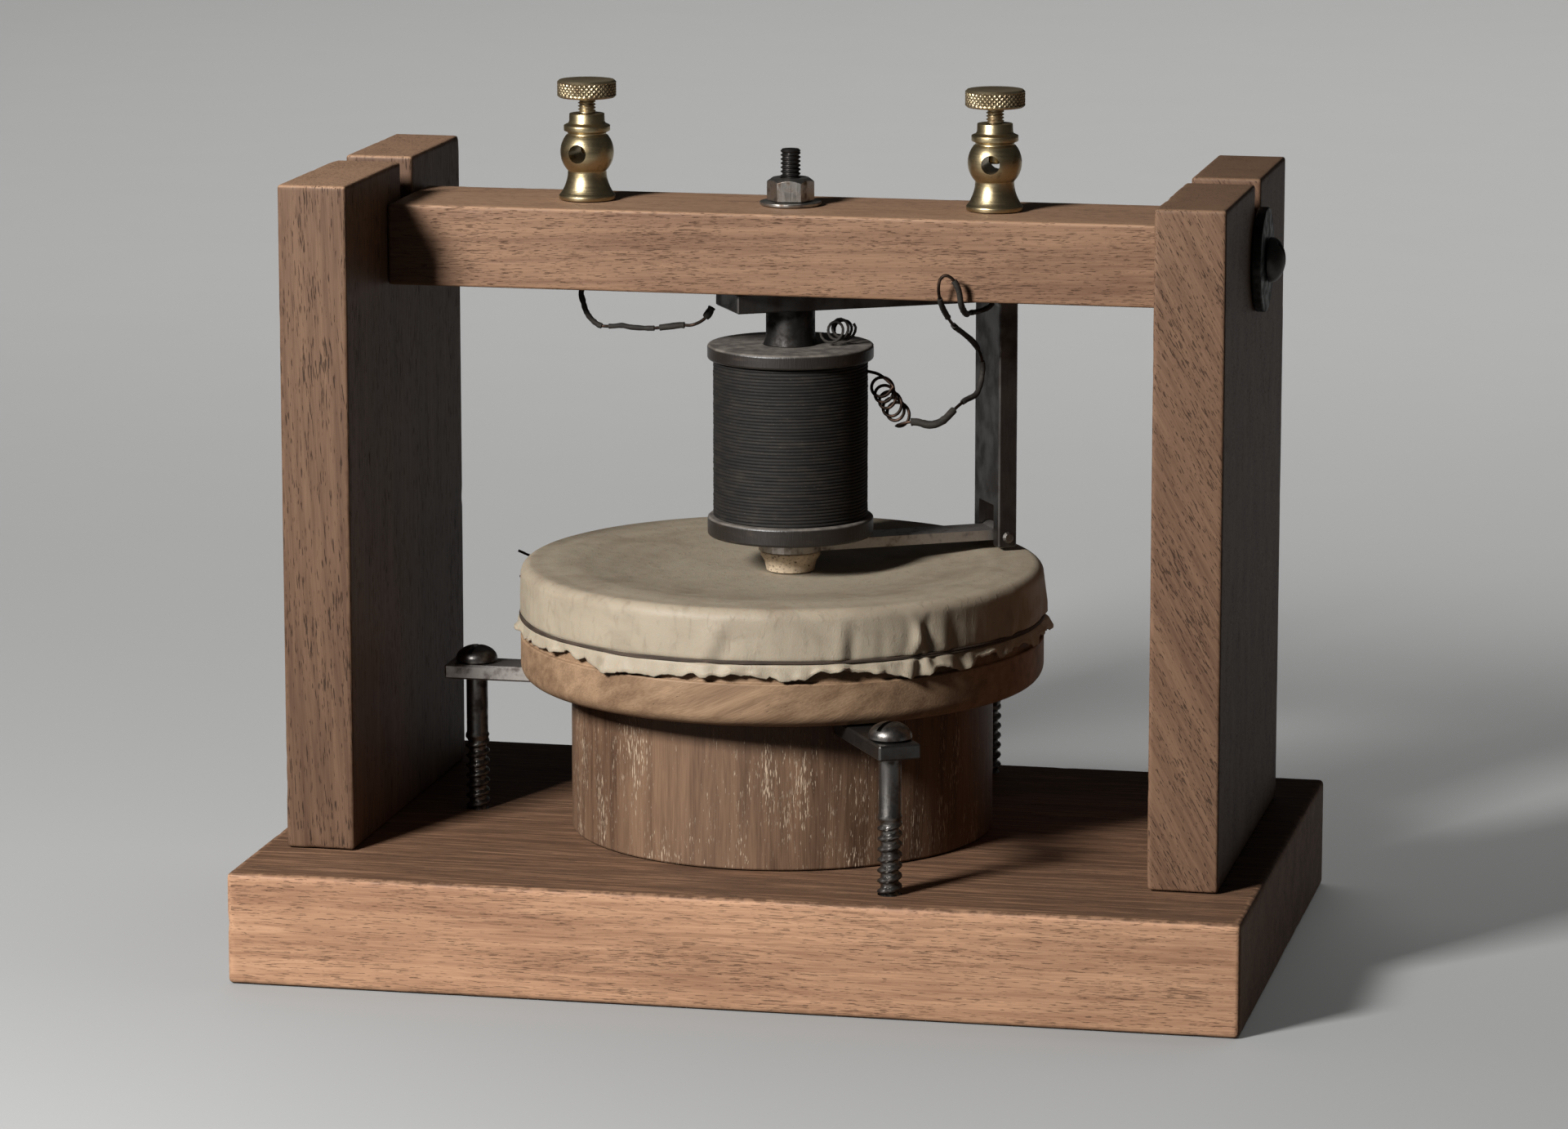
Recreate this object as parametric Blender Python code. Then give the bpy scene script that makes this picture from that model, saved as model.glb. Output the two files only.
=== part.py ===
"""Gallows-frame membrane telephone: a skin drum under an electromagnet with a hinged armature.

Units are metres. +Z is up, +X runs along the base from left to right, and -Y is the front.
The origin is the centre of the base board's underside.
"""

from math import asin, cos, degrees, pi, radians, sin

import bmesh
import bpy
from mathutils import Matrix, Vector

MM = 0.001
GAP = 0.3 * MM  # clearance that touching pieces keep
PAST = 5.0 * MM  # how far a cutter runs past the faces it opens

# Facets round a turned piece, by its size
FACETS_LARGE = 48
FACETS_MEDIUM = 32
FACETS_SMALL = 24
FACETS_FINE = 12

# Base board
BASE_LENGTH = 279.4 * MM
BASE_DEPTH = 177.8 * MM
BASE_HEIGHT = 31.2 * MM
BASE_EDGE_ROUND = 1.2 * MM
MOUTH_RADIUS = 38.0 * MM  # speaking mouth through the board, under the sound cylinder

# Posts
POST_THICKNESS = 19.3 * MM
POST_DEPTH = 120.0 * MM
POST_HEIGHT = 185.6 * MM
POST_FRONT_Y = -57.2 * MM
LEFT_POST_X = -131.8 * MM  # outer face of the left post
RIGHT_POST_X = 129.0 * MM  # outer face of the right post
POST_EDGE_ROUND = 0.7 * MM
SLOT_WIDTH = 11.7 * MM
SLOT_FLOOR_Z = 189.2 * MM
SLOT_BEHIND_MIDDLE = 2.2 * MM
POST_SCREW_AT = (0.24, 0.76)  # shares of the post's depth
POST_SCREW_RADIUS = 2.2 * MM
POST_SCREW_HEAD_RADIUS = 4.9 * MM
POST_SCREW_SUNK = 0.9 * MM
POST_SCREW_CONE = 3.0 * MM
POST_SCREW_REACH = 28.0 * MM  # into the post

# Driver slots across screw heads
DRIVER_SLOT_HALF = 0.7 * MM
DRIVER_SLOT_DEPTH = 1.8 * MM

# Crossbar and its height clamps
CROSSBAR_DEPTH = 42.0 * MM
CROSSBAR_HEIGHT = 22.7 * MM
CROSSBAR_BOTTOM_Z = 184.1 * MM
CROSSBAR_EDGE_ROUND = 0.6 * MM
CLAMP_SHANK_RADIUS = 2.9 * MM
CLAMP_SHANK_IN_BAR = 30.0 * MM
CLAMP_POINT = 5.0 * MM
CLAMP_HEAD_RADIUS = 6.2 * MM
CLAMP_HEAD_HEIGHT = 4.6 * MM
CLAMP_WASHER_RADIUS = 14.4 * MM
CLAMP_WASHER_THICKNESS = 2.6 * MM
CLAMP_WASHER_CHAMFER = 0.5 * MM

# Drum: sound cylinder, hoop and skin
DRUM_X = -3.5 * MM
DRUM_Y = 2.0 * MM
CYLINDER_RADIUS = 59.4 * MM
CYLINDER_BORE = 50.0 * MM
CYLINDER_TOP_Z = 97.0 * MM
CYLINDER_CHAMFER = 1.0 * MM
HOOP_RADIUS = 73.6 * MM
HOOP_SEAT_RADIUS = 72.4 * MM  # where the skin lies over the hoop
HOOP_BORE = 59.8 * MM
HOOP_BOTTOM_Z = 74.2 * MM
HOOP_SEAT_Z = 86.6 * MM
HOOP_FOOT_ROUND = 4.2 * MM
SKIN_TOP_Z = 106.8 * MM
SKIN_THICKNESS = 0.8 * MM
SKIN_SHOULDER = 3.2 * MM
SKIN_HEM_Z = 87.8 * MM
SKIN_DIP = 3.5 * MM
TIE_Z = 92.4 * MM
TIE_WIRE_RADIUS = 0.55 * MM

# Hold-down lugs and their long screws
LUG_ANGLES = (180.0, -59.0, 59.0)
LUG_INNER = 60.4 * MM
LUG_OUTER = 97.0 * MM
LUG_WIDTH = 12.0 * MM
LUG_THICKNESS = 4.2 * MM
LUG_EDGE_ROUND = 0.5 * MM
HOLD_DOWN_RADIUS = 89.0 * MM
HOLD_DOWN_HEAD_RADIUS = 5.9 * MM
HOLD_DOWN_HEAD_HEIGHT = 4.6 * MM
HOLD_DOWN_SHANK_RADIUS = 3.05 * MM
HOLD_DOWN_TIP_Z = 12.0 * MM
HOLD_DOWN_POINT = 8.0 * MM
LUG_SCREW_AT = 66.4 * MM
LUG_SCREW_RADIUS = 1.5 * MM
LUG_SCREW_BORE = 1.9 * MM
LUG_SCREW_HEAD_RADIUS = 3.0 * MM
LUG_SCREW_HEAD_HEIGHT = 2.2 * MM
LUG_SCREW_REACH = 10.0 * MM  # into the hoop

# Electromagnet
MAGNET_X = -1.8 * MM
MAGNET_Y = 5.0 * MM
CORE_RADIUS = 6.9 * MM
CORE_BOTTOM_Z = 114.0 * MM
STUD_RADIUS = 2.8 * MM
STUD_TOP_Z = 222.6 * MM
STUD_CHAMFER = 0.6 * MM
FLANGE_RADIUS = 23.3 * MM
TOP_FLANGE_Z = (163.8 * MM, 167.9 * MM)
BOTTOM_FLANGE_Z = (114.0 * MM, 119.3 * MM)
FLANGE_CHAMFER = 0.7 * MM
WINDING_RADIUS = 21.7 * MM
TUBE_WALL = 1.2 * MM
NUT_FLATS = 11.5 * MM
NUT_THICKNESS = 6.3 * MM
NUT_TURN = radians(8)
NUT_CHAMFER_REACH = 3.6 * MM
NUT_CHAMFER_DROP = 1.7 * MM
CORE_WASHER_RADIUS = 8.6 * MM
CORE_WASHER_THICKNESS = 0.9 * MM

# Yoke, bent from flat iron bar, and the armature hinged at its foot
YOKE_ANGLE = radians(30.6)
YOKE_WIDTH = 19.8 * MM
YOKE_THICKNESS = 5.5 * MM
YOKE_TOP_Z = 183.8 * MM
YOKE_OUTER_BEND = 6.5 * MM
YOKE_INNER_BEND = 1.5 * MM
YOKE_EDGE_ROUND = 0.4 * MM
YOKE_TAIL = -18.8 * MM  # distances along the yoke, from the magnet's axis
LEG_INNER = 58.7 * MM
LEG_BOTTOM_Z = 107.9 * MM
CLEVIS_WIDTH = 11.6 * MM
CLEVIS_TOP_Z = 119.6 * MM
PIN_Z = 110.95 * MM
PIN_RADIUS = 1.1 * MM
PIN_HOLE_CLEARANCE = 0.1 * MM
PIN_HEAD_RADIUS = 1.7 * MM
PIN_HEAD_HEIGHT = 0.9 * MM
LEVER_WIDTH = 10.6 * MM
LEVER_THICKNESS = 2.9 * MM
LEVER_END_RADIUS = 9.0 * MM
LEVER_ROOT = 2.0 * MM  # past the pin
LEVER_BORE_CLEARANCE = 0.15 * MM
KNUCKLE_RADIUS = 2.3 * MM
BUTTON_TOP_RADIUS = 8.4 * MM
BUTTON_FOOT_RADIUS = 6.7 * MM

# Binding posts
LEFT_BINDING_X = -60.0 * MM
RIGHT_BINDING_X = 55.8 * MM
BINDING_STEM_RADIUS = 1.9 * MM
BINDING_STEM_DEPTH = 14.0 * MM
WIRE_EYE_RADIUS = 2.6 * MM
WIRE_EYE_HEIGHT = 13.2 * MM  # heights above the crossbar
BINDING_FOOT_RADIUS = 7.9 * MM
BINDING_WAIST_RADIUS = 5.45 * MM
BINDING_WAIST_HEIGHT = 7.1 * MM
BINDING_BALL_RADIUS = 7.5 * MM
BINDING_RING_RADIUS = 6.5 * MM
BINDING_COLLAR_RADIUS = 5.0 * MM
BINDING_COLLAR_HEIGHT = 24.0 * MM
LEFT_BINDING_TURN = radians(-9.5)
SPINDLE_RADIUS = 2.1 * MM
SPINDLE_TOP = 32.2 * MM
KNOB_RADIUS = 8.3 * MM
KNOB_HEIGHTS = (28.5 * MM, 33.4 * MM)
KNOB_ROUND = 1.0 * MM
KNOB_ROOF = 0.9 * MM

# Wires
LEAD_RADIUS = 0.8 * MM
CURL_RADIUS = 3.1 * MM
TAIL_CURL_RADIUS = 2.8 * MM
LEAD_STEP = 2.6  # spacing of a tube's points, in diameters
CURL_STEP = 0.4
ROUTE_STEPS = 12  # fine steps between two points of a route

# Worked out from the sizes above
CROSSBAR_TOP_Z = CROSSBAR_BOTTOM_Z + CROSSBAR_HEIGHT
CROSSBAR_MIDDLE_Z = CROSSBAR_BOTTOM_Z + CROSSBAR_HEIGHT / 2
POST_MIDDLE_Y = POST_FRONT_Y + POST_DEPTH / 2 + SLOT_BEHIND_MIDDLE
POST_TOP_Z = BASE_HEIGHT + POST_HEIGHT
YOKE_BOTTOM_Z = YOKE_TOP_Z - YOKE_THICKNESS
LEG_OUTER = LEG_INNER + YOKE_THICKNESS
PIN_AT = LEG_INNER + YOKE_THICKNESS / 2
LEVER_TOP_Z = PIN_Z + LEVER_THICKNESS / 2
LEVER_BOTTOM_Z = PIN_Z - LEVER_THICKNESS / 2
LUG_TOP_Z = HOOP_BOTTOM_Z - GAP
LUG_BOTTOM_Z = LUG_TOP_Z - LUG_THICKNESS
SKIN_INNER_TOP_Z = SKIN_TOP_Z - SKIN_THICKNESS
HOOP_TOP_Z = SKIN_INNER_TOP_Z - GAP
SKIN_OUTER_RADIUS = HOOP_SEAT_RADIUS + GAP + SKIN_THICKNESS


# Finishes: name -> (colour, roughness, metallic)
FINISHES = {
    "mahogany": ((0.26, 0.12, 0.055, 1), 0.42, 0.0),
    "turned_wood": ((0.38, 0.20, 0.09, 1), 0.5, 0.0),
    "ebonised_wood": ((0.035, 0.028, 0.024, 1), 0.45, 0.0),
    "parchment": ((0.72, 0.63, 0.47, 1), 0.55, 0.0),
    "tie_thread": ((0.05, 0.035, 0.025, 1), 0.8, 0.0),
    "dark_iron": ((0.06, 0.058, 0.056, 1), 0.45, 1.0),
    "steel": ((0.42, 0.41, 0.40, 1), 0.35, 1.0),
    "brass": ((0.62, 0.45, 0.18, 1), 0.3, 1.0),
    "silk_wound_wire": ((0.05, 0.06, 0.045, 1), 0.6, 0.0),
    "cork": ((0.75, 0.62, 0.44, 1), 0.8, 0.0),
}


def clear_scene():
    for item in list(bpy.data.objects):
        bpy.data.objects.remove(item, do_unlink=True)


def finish(name):
    """The material of that name, made the first time it is asked for."""
    if name in bpy.data.materials:
        return bpy.data.materials[name]
    colour, roughness, metallic = FINISHES[name]
    material = bpy.data.materials.new(name)
    material.use_nodes = True
    shader = material.node_tree.nodes["Principled BSDF"]
    shader.inputs["Base Color"].default_value = colour
    shader.inputs["Roughness"].default_value = roughness
    shader.inputs["Metallic"].default_value = metallic
    material.diffuse_color = colour
    return material


def empty(name, location, turn=0.0, parent=None):
    """A guide axis: pieces that share it are parented to it."""
    guide = bpy.data.objects.new(name, None)
    bpy.context.scene.collection.objects.link(guide)
    guide.parent = parent
    guide.location = location
    guide.rotation_euler = (0, 0, turn)
    return guide


def piece(name, shape, finish_name, parent=None, location=(0, 0, 0)):
    """Turns a bmesh into a named object with its finish."""
    bmesh.ops.recalc_face_normals(shape, faces=shape.faces)
    mesh = bpy.data.meshes.new(name)
    shape.to_mesh(mesh)
    shape.free()
    mesh.shade_smooth()
    mesh.set_sharp_from_angle(angle=radians(35))
    mesh.materials.append(finish(finish_name))
    made = bpy.data.objects.new(name, mesh)
    bpy.context.scene.collection.objects.link(made)
    made.parent = parent
    made.location = location
    return made


def cut(target, shape, name):
    """Takes a bmesh away from the target; the cutter shares the target's parent and place."""
    bmesh.ops.recalc_face_normals(shape, faces=shape.faces)
    mesh = bpy.data.meshes.new(name)
    shape.to_mesh(mesh)
    shape.free()
    cutter = bpy.data.objects.new(name, mesh)
    bpy.context.scene.collection.objects.link(cutter)
    cutter.parent = target.parent
    cutter.location = target.location
    cutter.hide_render = True
    cutter.display_type = "WIRE"
    boolean = target.modifiers.new(name, "BOOLEAN")
    boolean.operation = "DIFFERENCE"
    boolean.object = cutter


def rounded(target, width, segments=2):
    bevel = target.modifiers.new("edges", "BEVEL")
    bevel.width = width
    bevel.segments = segments
    bevel.limit_method = "ANGLE"
    bevel.angle_limit = radians(40)


def block(low, high):
    """A box between two corners."""
    shape = bmesh.new()
    bmesh.ops.create_cube(shape, size=1)
    low, high = Vector(low), Vector(high)
    bmesh.ops.scale(shape, vec=high - low, verts=shape.verts)
    bmesh.ops.translate(shape, vec=(low + high) / 2, verts=shape.verts)
    return shape


def rod(radius, start, end, segments=FACETS_SMALL):
    """A round bar between two points."""
    shape = bmesh.new()
    start, end = Vector(start), Vector(end)
    along = end - start
    turn = along.to_track_quat("Z", "Y").to_matrix().to_4x4()
    bmesh.ops.create_cone(
        shape,
        cap_ends=True,
        segments=segments,
        radius1=radius,
        radius2=radius,
        depth=along.length,
        matrix=Matrix.Translation((start + end) / 2) @ turn,
    )
    return shape


def turned(outline, segments=FACETS_MEDIUM):
    """A lathe shape about Z from (radius, z) points; a ring if the outline keeps off the axis."""
    shape = bmesh.new()
    points = [shape.verts.new((radius, 0, z)) for radius, z in outline]
    pairs = list(zip(points, points[1:]))
    if outline[0][0] > 0:
        pairs.append((points[-1], points[0]))
    edges = [shape.edges.new(pair) for pair in pairs]
    bmesh.ops.spin(
        shape,
        geom=points + edges,
        axis=(0, 0, 1),
        cent=(0, 0, 0),
        steps=segments,
        angle=2 * pi,
        use_merge=True,
    )
    bmesh.ops.remove_doubles(shape, verts=shape.verts, dist=0.001 * MM)
    return shape


def extruded(outline, thickness, axis):
    """A flat outline of 3-D points, pulled along an axis vector by the thickness."""
    shape = bmesh.new()
    face = shape.faces.new([shape.verts.new(point) for point in outline])
    made = bmesh.ops.extrude_face_region(shape, geom=[face])
    moved = [item for item in made["geom"] if isinstance(item, bmesh.types.BMVert)]
    bmesh.ops.translate(shape, vec=Vector(axis) * thickness, verts=moved)
    return shape


def arc(centre, radius, start, end, steps):
    """Points (a, b) of an arc in degrees, ends included."""
    angles = [radians(start + (end - start) * i / steps) for i in range(steps + 1)]
    return [(centre[0] + radius * cos(a), centre[1] + radius * sin(a)) for a in angles]


def smooth_route(route, spacing):
    """Points read along a smooth curve through the route, a spacing apart."""
    route = [Vector(point) for point in route]
    ends = [2 * route[0] - route[1]] + route + [2 * route[-1] - route[-2]]
    fine = []
    for before, here, there, after in zip(ends, ends[1:], ends[2:], ends[3:]):
        for step in range(ROUTE_STEPS):
            t = step / ROUTE_STEPS
            fine.append(
                0.5
                * (
                    2 * here
                    + (there - before) * t
                    + (2 * before - 5 * here + 4 * there - after) * t * t
                    + (3 * here - before - 3 * there + after) * t * t * t
                )
            )
    fine.append(route[-1])
    kept = [fine[0]]
    for point in fine[1:-1]:
        if (point - kept[-1]).length >= spacing:
            kept.append(point)
    if (fine[-1] - kept[-1]).length < spacing / 2:
        kept.pop()
    return kept + [fine[-1]]


def tube(name, route, radius, finish_name, spacing=LEAD_STEP):
    """A round tube along a route: a bevelled poly curve with filled caps."""
    points = smooth_route(route, spacing * 2 * radius)
    data = bpy.data.curves.new(name, "CURVE")
    data.dimensions = "3D"
    data.bevel_depth = radius
    data.bevel_resolution = 2
    data.use_fill_caps = True
    spline = data.splines.new("POLY")
    spline.points.add(len(points) - 1)
    for slot, point in zip(spline.points, points):
        slot.co = (*point, 1)
    data.materials.append(finish(finish_name))
    made = bpy.data.objects.new(name, data)
    bpy.context.scene.collection.objects.link(made)
    return made


def dome_head(radius, height, under, top_flat=0.25, steps=5):
    """Outline points of a round screw head whose flat underside is at height 'under'."""
    points = [(radius, under), (radius, under + 0.18 * height)]
    for step in range(1, steps + 1):
        angle = pi / 2 * step / steps
        reach = max(cos(angle), top_flat)
        points.append((radius * reach, under + height * (0.18 + 0.82 * sin(angle))))
    return points


def build_base():
    """The base board, with its mouth and the holes of the screws that stand in it."""
    half_x, half_y = BASE_LENGTH / 2, BASE_DEPTH / 2
    base = piece("base_board", block((-half_x, -half_y, 0), (half_x, half_y, BASE_HEIGHT)), "mahogany")
    rounded(base, BASE_EDGE_ROUND)
    above = BASE_HEIGHT + PAST
    mouth = rod(MOUTH_RADIUS, (DRUM_X, DRUM_Y, -PAST), (DRUM_X, DRUM_Y, above), FACETS_MEDIUM)
    cut(base, mouth, "mouth_cutter")
    for number, (x, y) in enumerate(hold_down_places(), 1):
        ends = [(x, y, HOLD_DOWN_TIP_Z - 2 * MM), (x, y, above)]
        hole = rod(HOLD_DOWN_SHANK_RADIUS + GAP, *ends, FACETS_FINE)
        cut(base, hole, f"hold_down_hole_{number}")
    head, shank = POST_SCREW_HEAD_RADIUS + 0.7 * MM, POST_SCREW_RADIUS + 0.4 * MM
    for number, (x, y) in enumerate(post_screw_places(), 1):
        hole = turned(
            [
                (0, -MM),
                (head, -MM),
                (head, POST_SCREW_SUNK),
                (shank, POST_SCREW_SUNK + POST_SCREW_CONE + GAP),
                (shank, above),
                (0, above),
            ],
            FACETS_FINE,
        )
        bmesh.ops.translate(hole, vec=(x, y, 0), verts=hole.verts)
        cut(base, hole, f"post_screw_hole_{number}")


def post_screw_places():
    """Plan places of the four screws that come up through the base into the posts."""
    middles = (LEFT_POST_X + POST_THICKNESS / 2, RIGHT_POST_X - POST_THICKNESS / 2)
    return [(x, POST_FRONT_Y + share * POST_DEPTH) for x in middles for share in POST_SCREW_AT]


def build_posts():
    """Two boards on edge, each slotted from its top so that the crossbar can be set to height."""
    foot_z = BASE_HEIGHT + GAP
    back_y = POST_FRONT_Y + POST_DEPTH
    half_slot = SLOT_WIDTH / 2
    slot_floor = arc((POST_MIDDLE_Y, SLOT_FLOOR_Z + half_slot), half_slot, 0, -180, 10)
    outline = (
        [(POST_FRONT_Y, foot_z), (back_y, foot_z), (back_y, POST_TOP_Z)]
        + [(POST_MIDDLE_Y + half_slot, POST_TOP_Z)]
        + slot_floor
        + [(POST_MIDDLE_Y - half_slot, POST_TOP_Z), (POST_FRONT_Y, POST_TOP_Z)]
    )
    screws = post_screw_places()
    for side, outer_x, step in (("left", LEFT_POST_X, 1), ("right", RIGHT_POST_X, -1)):
        points = [(outer_x, y, z) for y, z in outline]
        post = piece(f"{side}_post", extruded(points, POST_THICKNESS, (step, 0, 0)), "mahogany")
        rounded(post, POST_EDGE_ROUND)
        places = screws[:2] if side == "left" else screws[2:]
        for place, (x, y) in zip(("front", "back"), places):
            ends = [(x, y, BASE_HEIGHT - PAST), (x, y, BASE_HEIGHT + POST_SCREW_REACH + 2 * MM)]
            cut(post, rod(POST_SCREW_RADIUS + GAP, *ends, FACETS_FINE), f"{side}_post_{place}_hole")
            build_post_screw(f"{side}_post_{place}_screw", x, y)


def build_post_screw(name, x, y):
    """A countersunk wood screw, head down, flush under the base board."""
    tip = BASE_HEIGHT + POST_SCREW_REACH
    outline = [
        (0, POST_SCREW_SUNK),
        (POST_SCREW_HEAD_RADIUS, POST_SCREW_SUNK),
        (POST_SCREW_RADIUS, POST_SCREW_SUNK + POST_SCREW_CONE),
        (POST_SCREW_RADIUS, tip - 8 * MM),
        (POST_SCREW_RADIUS / 2, tip - 2 * MM),
        (0, tip),
    ]
    piece(name, turned(outline, FACETS_FINE), "steel", location=(x, y, 0))


def build_crossbar():
    half_y = CROSSBAR_DEPTH / 2
    left_x = LEFT_POST_X + POST_THICKNESS + GAP
    right_x = RIGHT_POST_X - POST_THICKNESS - GAP
    low = (left_x, POST_MIDDLE_Y - half_y, CROSSBAR_BOTTOM_Z)
    high = (right_x, POST_MIDDLE_Y + half_y, CROSSBAR_TOP_Z)
    bar = piece("crossbar", block(low, high), "mahogany")
    rounded(bar, CROSSBAR_EDGE_ROUND)
    through = (CROSSBAR_BOTTOM_Z - PAST, CROSSBAR_TOP_Z + PAST)
    holes = (
        ("stud_hole", MAGNET_X, MAGNET_Y, STUD_RADIUS),
        ("left_binding_hole", LEFT_BINDING_X, POST_MIDDLE_Y, BINDING_STEM_RADIUS),
        ("right_binding_hole", RIGHT_BINDING_X, POST_MIDDLE_Y, BINDING_STEM_RADIUS),
    )
    for name, x, y, radius in holes:
        cut(bar, rod(radius + GAP, (x, y, through[0]), (x, y, through[1]), FACETS_FINE), name)
    for side, end_x, step in (("left", left_x, 1), ("right", right_x, -1)):
        inside = end_x + step * (CLAMP_SHANK_IN_BAR + 2 * MM)
        outside = end_x - step * PAST
        axis = [(x, POST_MIDDLE_Y, CROSSBAR_MIDDLE_Z) for x in (outside, inside)]
        cut(bar, rod(CLAMP_SHANK_RADIUS + GAP, *axis, FACETS_FINE), f"{side}_clamp_hole")
        build_clamp(side, step)


def build_clamp(side, step):
    """Washer and round-head screw that pull the crossbar's end against a post."""
    post_face = LEFT_POST_X if side == "left" else RIGHT_POST_X
    axis = empty(f"{side}_clamp_axis", (post_face, POST_MIDDLE_Y, CROSSBAR_MIDDLE_Z))
    axis.rotation_euler = (0, -step * pi / 2, 0)  # local +Z points away from the post
    washer = turned(
        [
            (CLAMP_SHANK_RADIUS + GAP, GAP),
            (CLAMP_WASHER_RADIUS, GAP),
            (CLAMP_WASHER_RADIUS, GAP + CLAMP_WASHER_THICKNESS - CLAMP_WASHER_CHAMFER),
            (CLAMP_WASHER_RADIUS - CLAMP_WASHER_CHAMFER, GAP + CLAMP_WASHER_THICKNESS),
            (CLAMP_SHANK_RADIUS + GAP, GAP + CLAMP_WASHER_THICKNESS),
        ],
        FACETS_MEDIUM,
    )
    piece(f"{side}_clamp_washer", washer, "steel", parent=axis)
    seat = CLAMP_WASHER_THICKNESS + 2 * GAP
    tip = -(POST_THICKNESS + CLAMP_SHANK_IN_BAR)
    head = dome_head(CLAMP_HEAD_RADIUS, CLAMP_HEAD_HEIGHT, seat)
    outline = (
        [(0, tip), (0.5 * CLAMP_SHANK_RADIUS, tip), (CLAMP_SHANK_RADIUS, tip + CLAMP_POINT)]
        + [(CLAMP_SHANK_RADIUS, seat)]
        + head
        + [(0, seat + CLAMP_HEAD_HEIGHT)]
    )
    screw = piece(f"{side}_clamp_screw", turned(outline, FACETS_SMALL), "steel", parent=axis)
    cut(screw, screw_slot(CLAMP_HEAD_RADIUS, seat + CLAMP_HEAD_HEIGHT), f"{side}_clamp_slot")


def screw_slot(head_radius, head_top):
    """The driver slot across a screw head."""
    reach = head_radius + MM
    return block(
        (-reach, -DRIVER_SLOT_HALF, head_top - DRIVER_SLOT_DEPTH), (reach, DRIVER_SLOT_HALF, head_top + MM)
    )


def build_drum():
    """Cylinder, hoop, skin and the thread that ties the skin down, all about one axis."""
    axis = empty("drum_axis", (DRUM_X, DRUM_Y, 0))
    foot = BASE_HEIGHT + GAP
    cylinder = turned(
        [
            (CYLINDER_BORE, foot),
            (CYLINDER_RADIUS, foot),
            (CYLINDER_RADIUS, CYLINDER_TOP_Z - CYLINDER_CHAMFER),
            (CYLINDER_RADIUS - CYLINDER_CHAMFER, CYLINDER_TOP_Z),
            (CYLINDER_BORE, CYLINDER_TOP_Z),
        ],
        FACETS_LARGE,
    )
    piece("sound_cylinder", cylinder, "turned_wood", parent=axis)
    build_hoop(axis)
    build_skin(axis)
    tie = turned(
        arc((SKIN_OUTER_RADIUS + GAP + TIE_WIRE_RADIUS, TIE_Z), TIE_WIRE_RADIUS, 0, 300, 5),
        FACETS_LARGE,
    )
    piece("tie_thread", tie, "tie_thread", parent=axis)


def build_hoop(axis):
    foot_x, foot_z = HOOP_RADIUS - HOOP_FOOT_ROUND, HOOP_BOTTOM_Z + HOOP_FOOT_ROUND
    top_round = SKIN_SHOULDER - SKIN_THICKNESS
    outline = (
        [(HOOP_BORE, HOOP_BOTTOM_Z)]
        + arc((foot_x, foot_z), HOOP_FOOT_ROUND, -90, 0, 3)
        + [(HOOP_RADIUS, HOOP_SEAT_Z), (HOOP_SEAT_RADIUS, HOOP_SEAT_Z)]
        + arc((HOOP_SEAT_RADIUS - top_round, HOOP_TOP_Z - top_round), top_round, 0, 90, 3)
        + [(HOOP_BORE, HOOP_TOP_Z)]
    )
    hoop = piece("drum_hoop", turned(outline, FACETS_LARGE), "turned_wood", parent=axis)
    for number, angle in enumerate(LUG_ANGLES, 1):
        x = LUG_SCREW_AT * cos(radians(angle))
        y = LUG_SCREW_AT * sin(radians(angle))
        ends = [(x, y, HOOP_BOTTOM_Z - PAST), (x, y, HOOP_BOTTOM_Z + LUG_SCREW_REACH + MM)]
        cut(hoop, rod(LUG_SCREW_BORE, *ends, FACETS_FINE), f"lug_screw_hole_{number}")


def build_skin(axis):
    """The drumhead: dished in the middle, turned down over the hoop to its hem."""

    def dished(z, steps=3):
        return [
            (HOOP_BORE * i / steps, z - SKIN_DIP * (1 - (i / steps) ** 2)) for i in range(steps + 1)
        ]

    inner_radius = SKIN_OUTER_RADIUS - SKIN_THICKNESS
    inner_round = SKIN_SHOULDER - SKIN_THICKNESS
    outer = arc(
        (SKIN_OUTER_RADIUS - SKIN_SHOULDER, SKIN_TOP_Z - SKIN_SHOULDER), SKIN_SHOULDER, 90, 0, 3
    )
    inner = arc(
        (inner_radius - inner_round, SKIN_INNER_TOP_Z - inner_round), inner_round, 0, 90, 3
    )
    outline = (
        dished(SKIN_TOP_Z)
        + outer
        + [(SKIN_OUTER_RADIUS, SKIN_HEM_Z), (inner_radius, SKIN_HEM_Z)]
        + inner
        + list(reversed(dished(SKIN_INNER_TOP_Z)))
    )
    piece("membrane", turned(outline, FACETS_LARGE), "parchment", parent=axis)


def hold_down_places():
    """Plan places of the three hold-down screws."""
    return [
        (
            DRUM_X + HOLD_DOWN_RADIUS * cos(radians(angle)),
            DRUM_Y + HOLD_DOWN_RADIUS * sin(radians(angle)),
        )
        for angle in LUG_ANGLES
    ]


def build_lugs():
    """Three iron lugs under the hoop, each pulled down to the base by a long wood screw."""
    for number, angle in enumerate(LUG_ANGLES, 1):
        axis = empty(f"lug_axis_{number}", (DRUM_X, DRUM_Y, 0), radians(angle))
        half = LUG_WIDTH / 2
        shape = block((LUG_INNER, -half, LUG_BOTTOM_Z), (LUG_OUTER, half, LUG_TOP_Z))
        lug = piece(f"hold_down_lug_{number}", shape, "dark_iron", parent=axis)
        rounded(lug, LUG_EDGE_ROUND, 1)
        for name, reach, radius in (
            (f"lug_bore_{number}", HOLD_DOWN_RADIUS, HOLD_DOWN_SHANK_RADIUS + GAP),
            (f"lug_small_bore_{number}", LUG_SCREW_AT, LUG_SCREW_BORE),
        ):
            ends = [(reach, 0, LUG_BOTTOM_Z - PAST), (reach, 0, LUG_TOP_Z + PAST)]
            cut(lug, rod(radius, *ends, FACETS_FINE), name)
        build_hold_down_screw(number, axis)
        build_lug_screw(number, axis)


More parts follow.
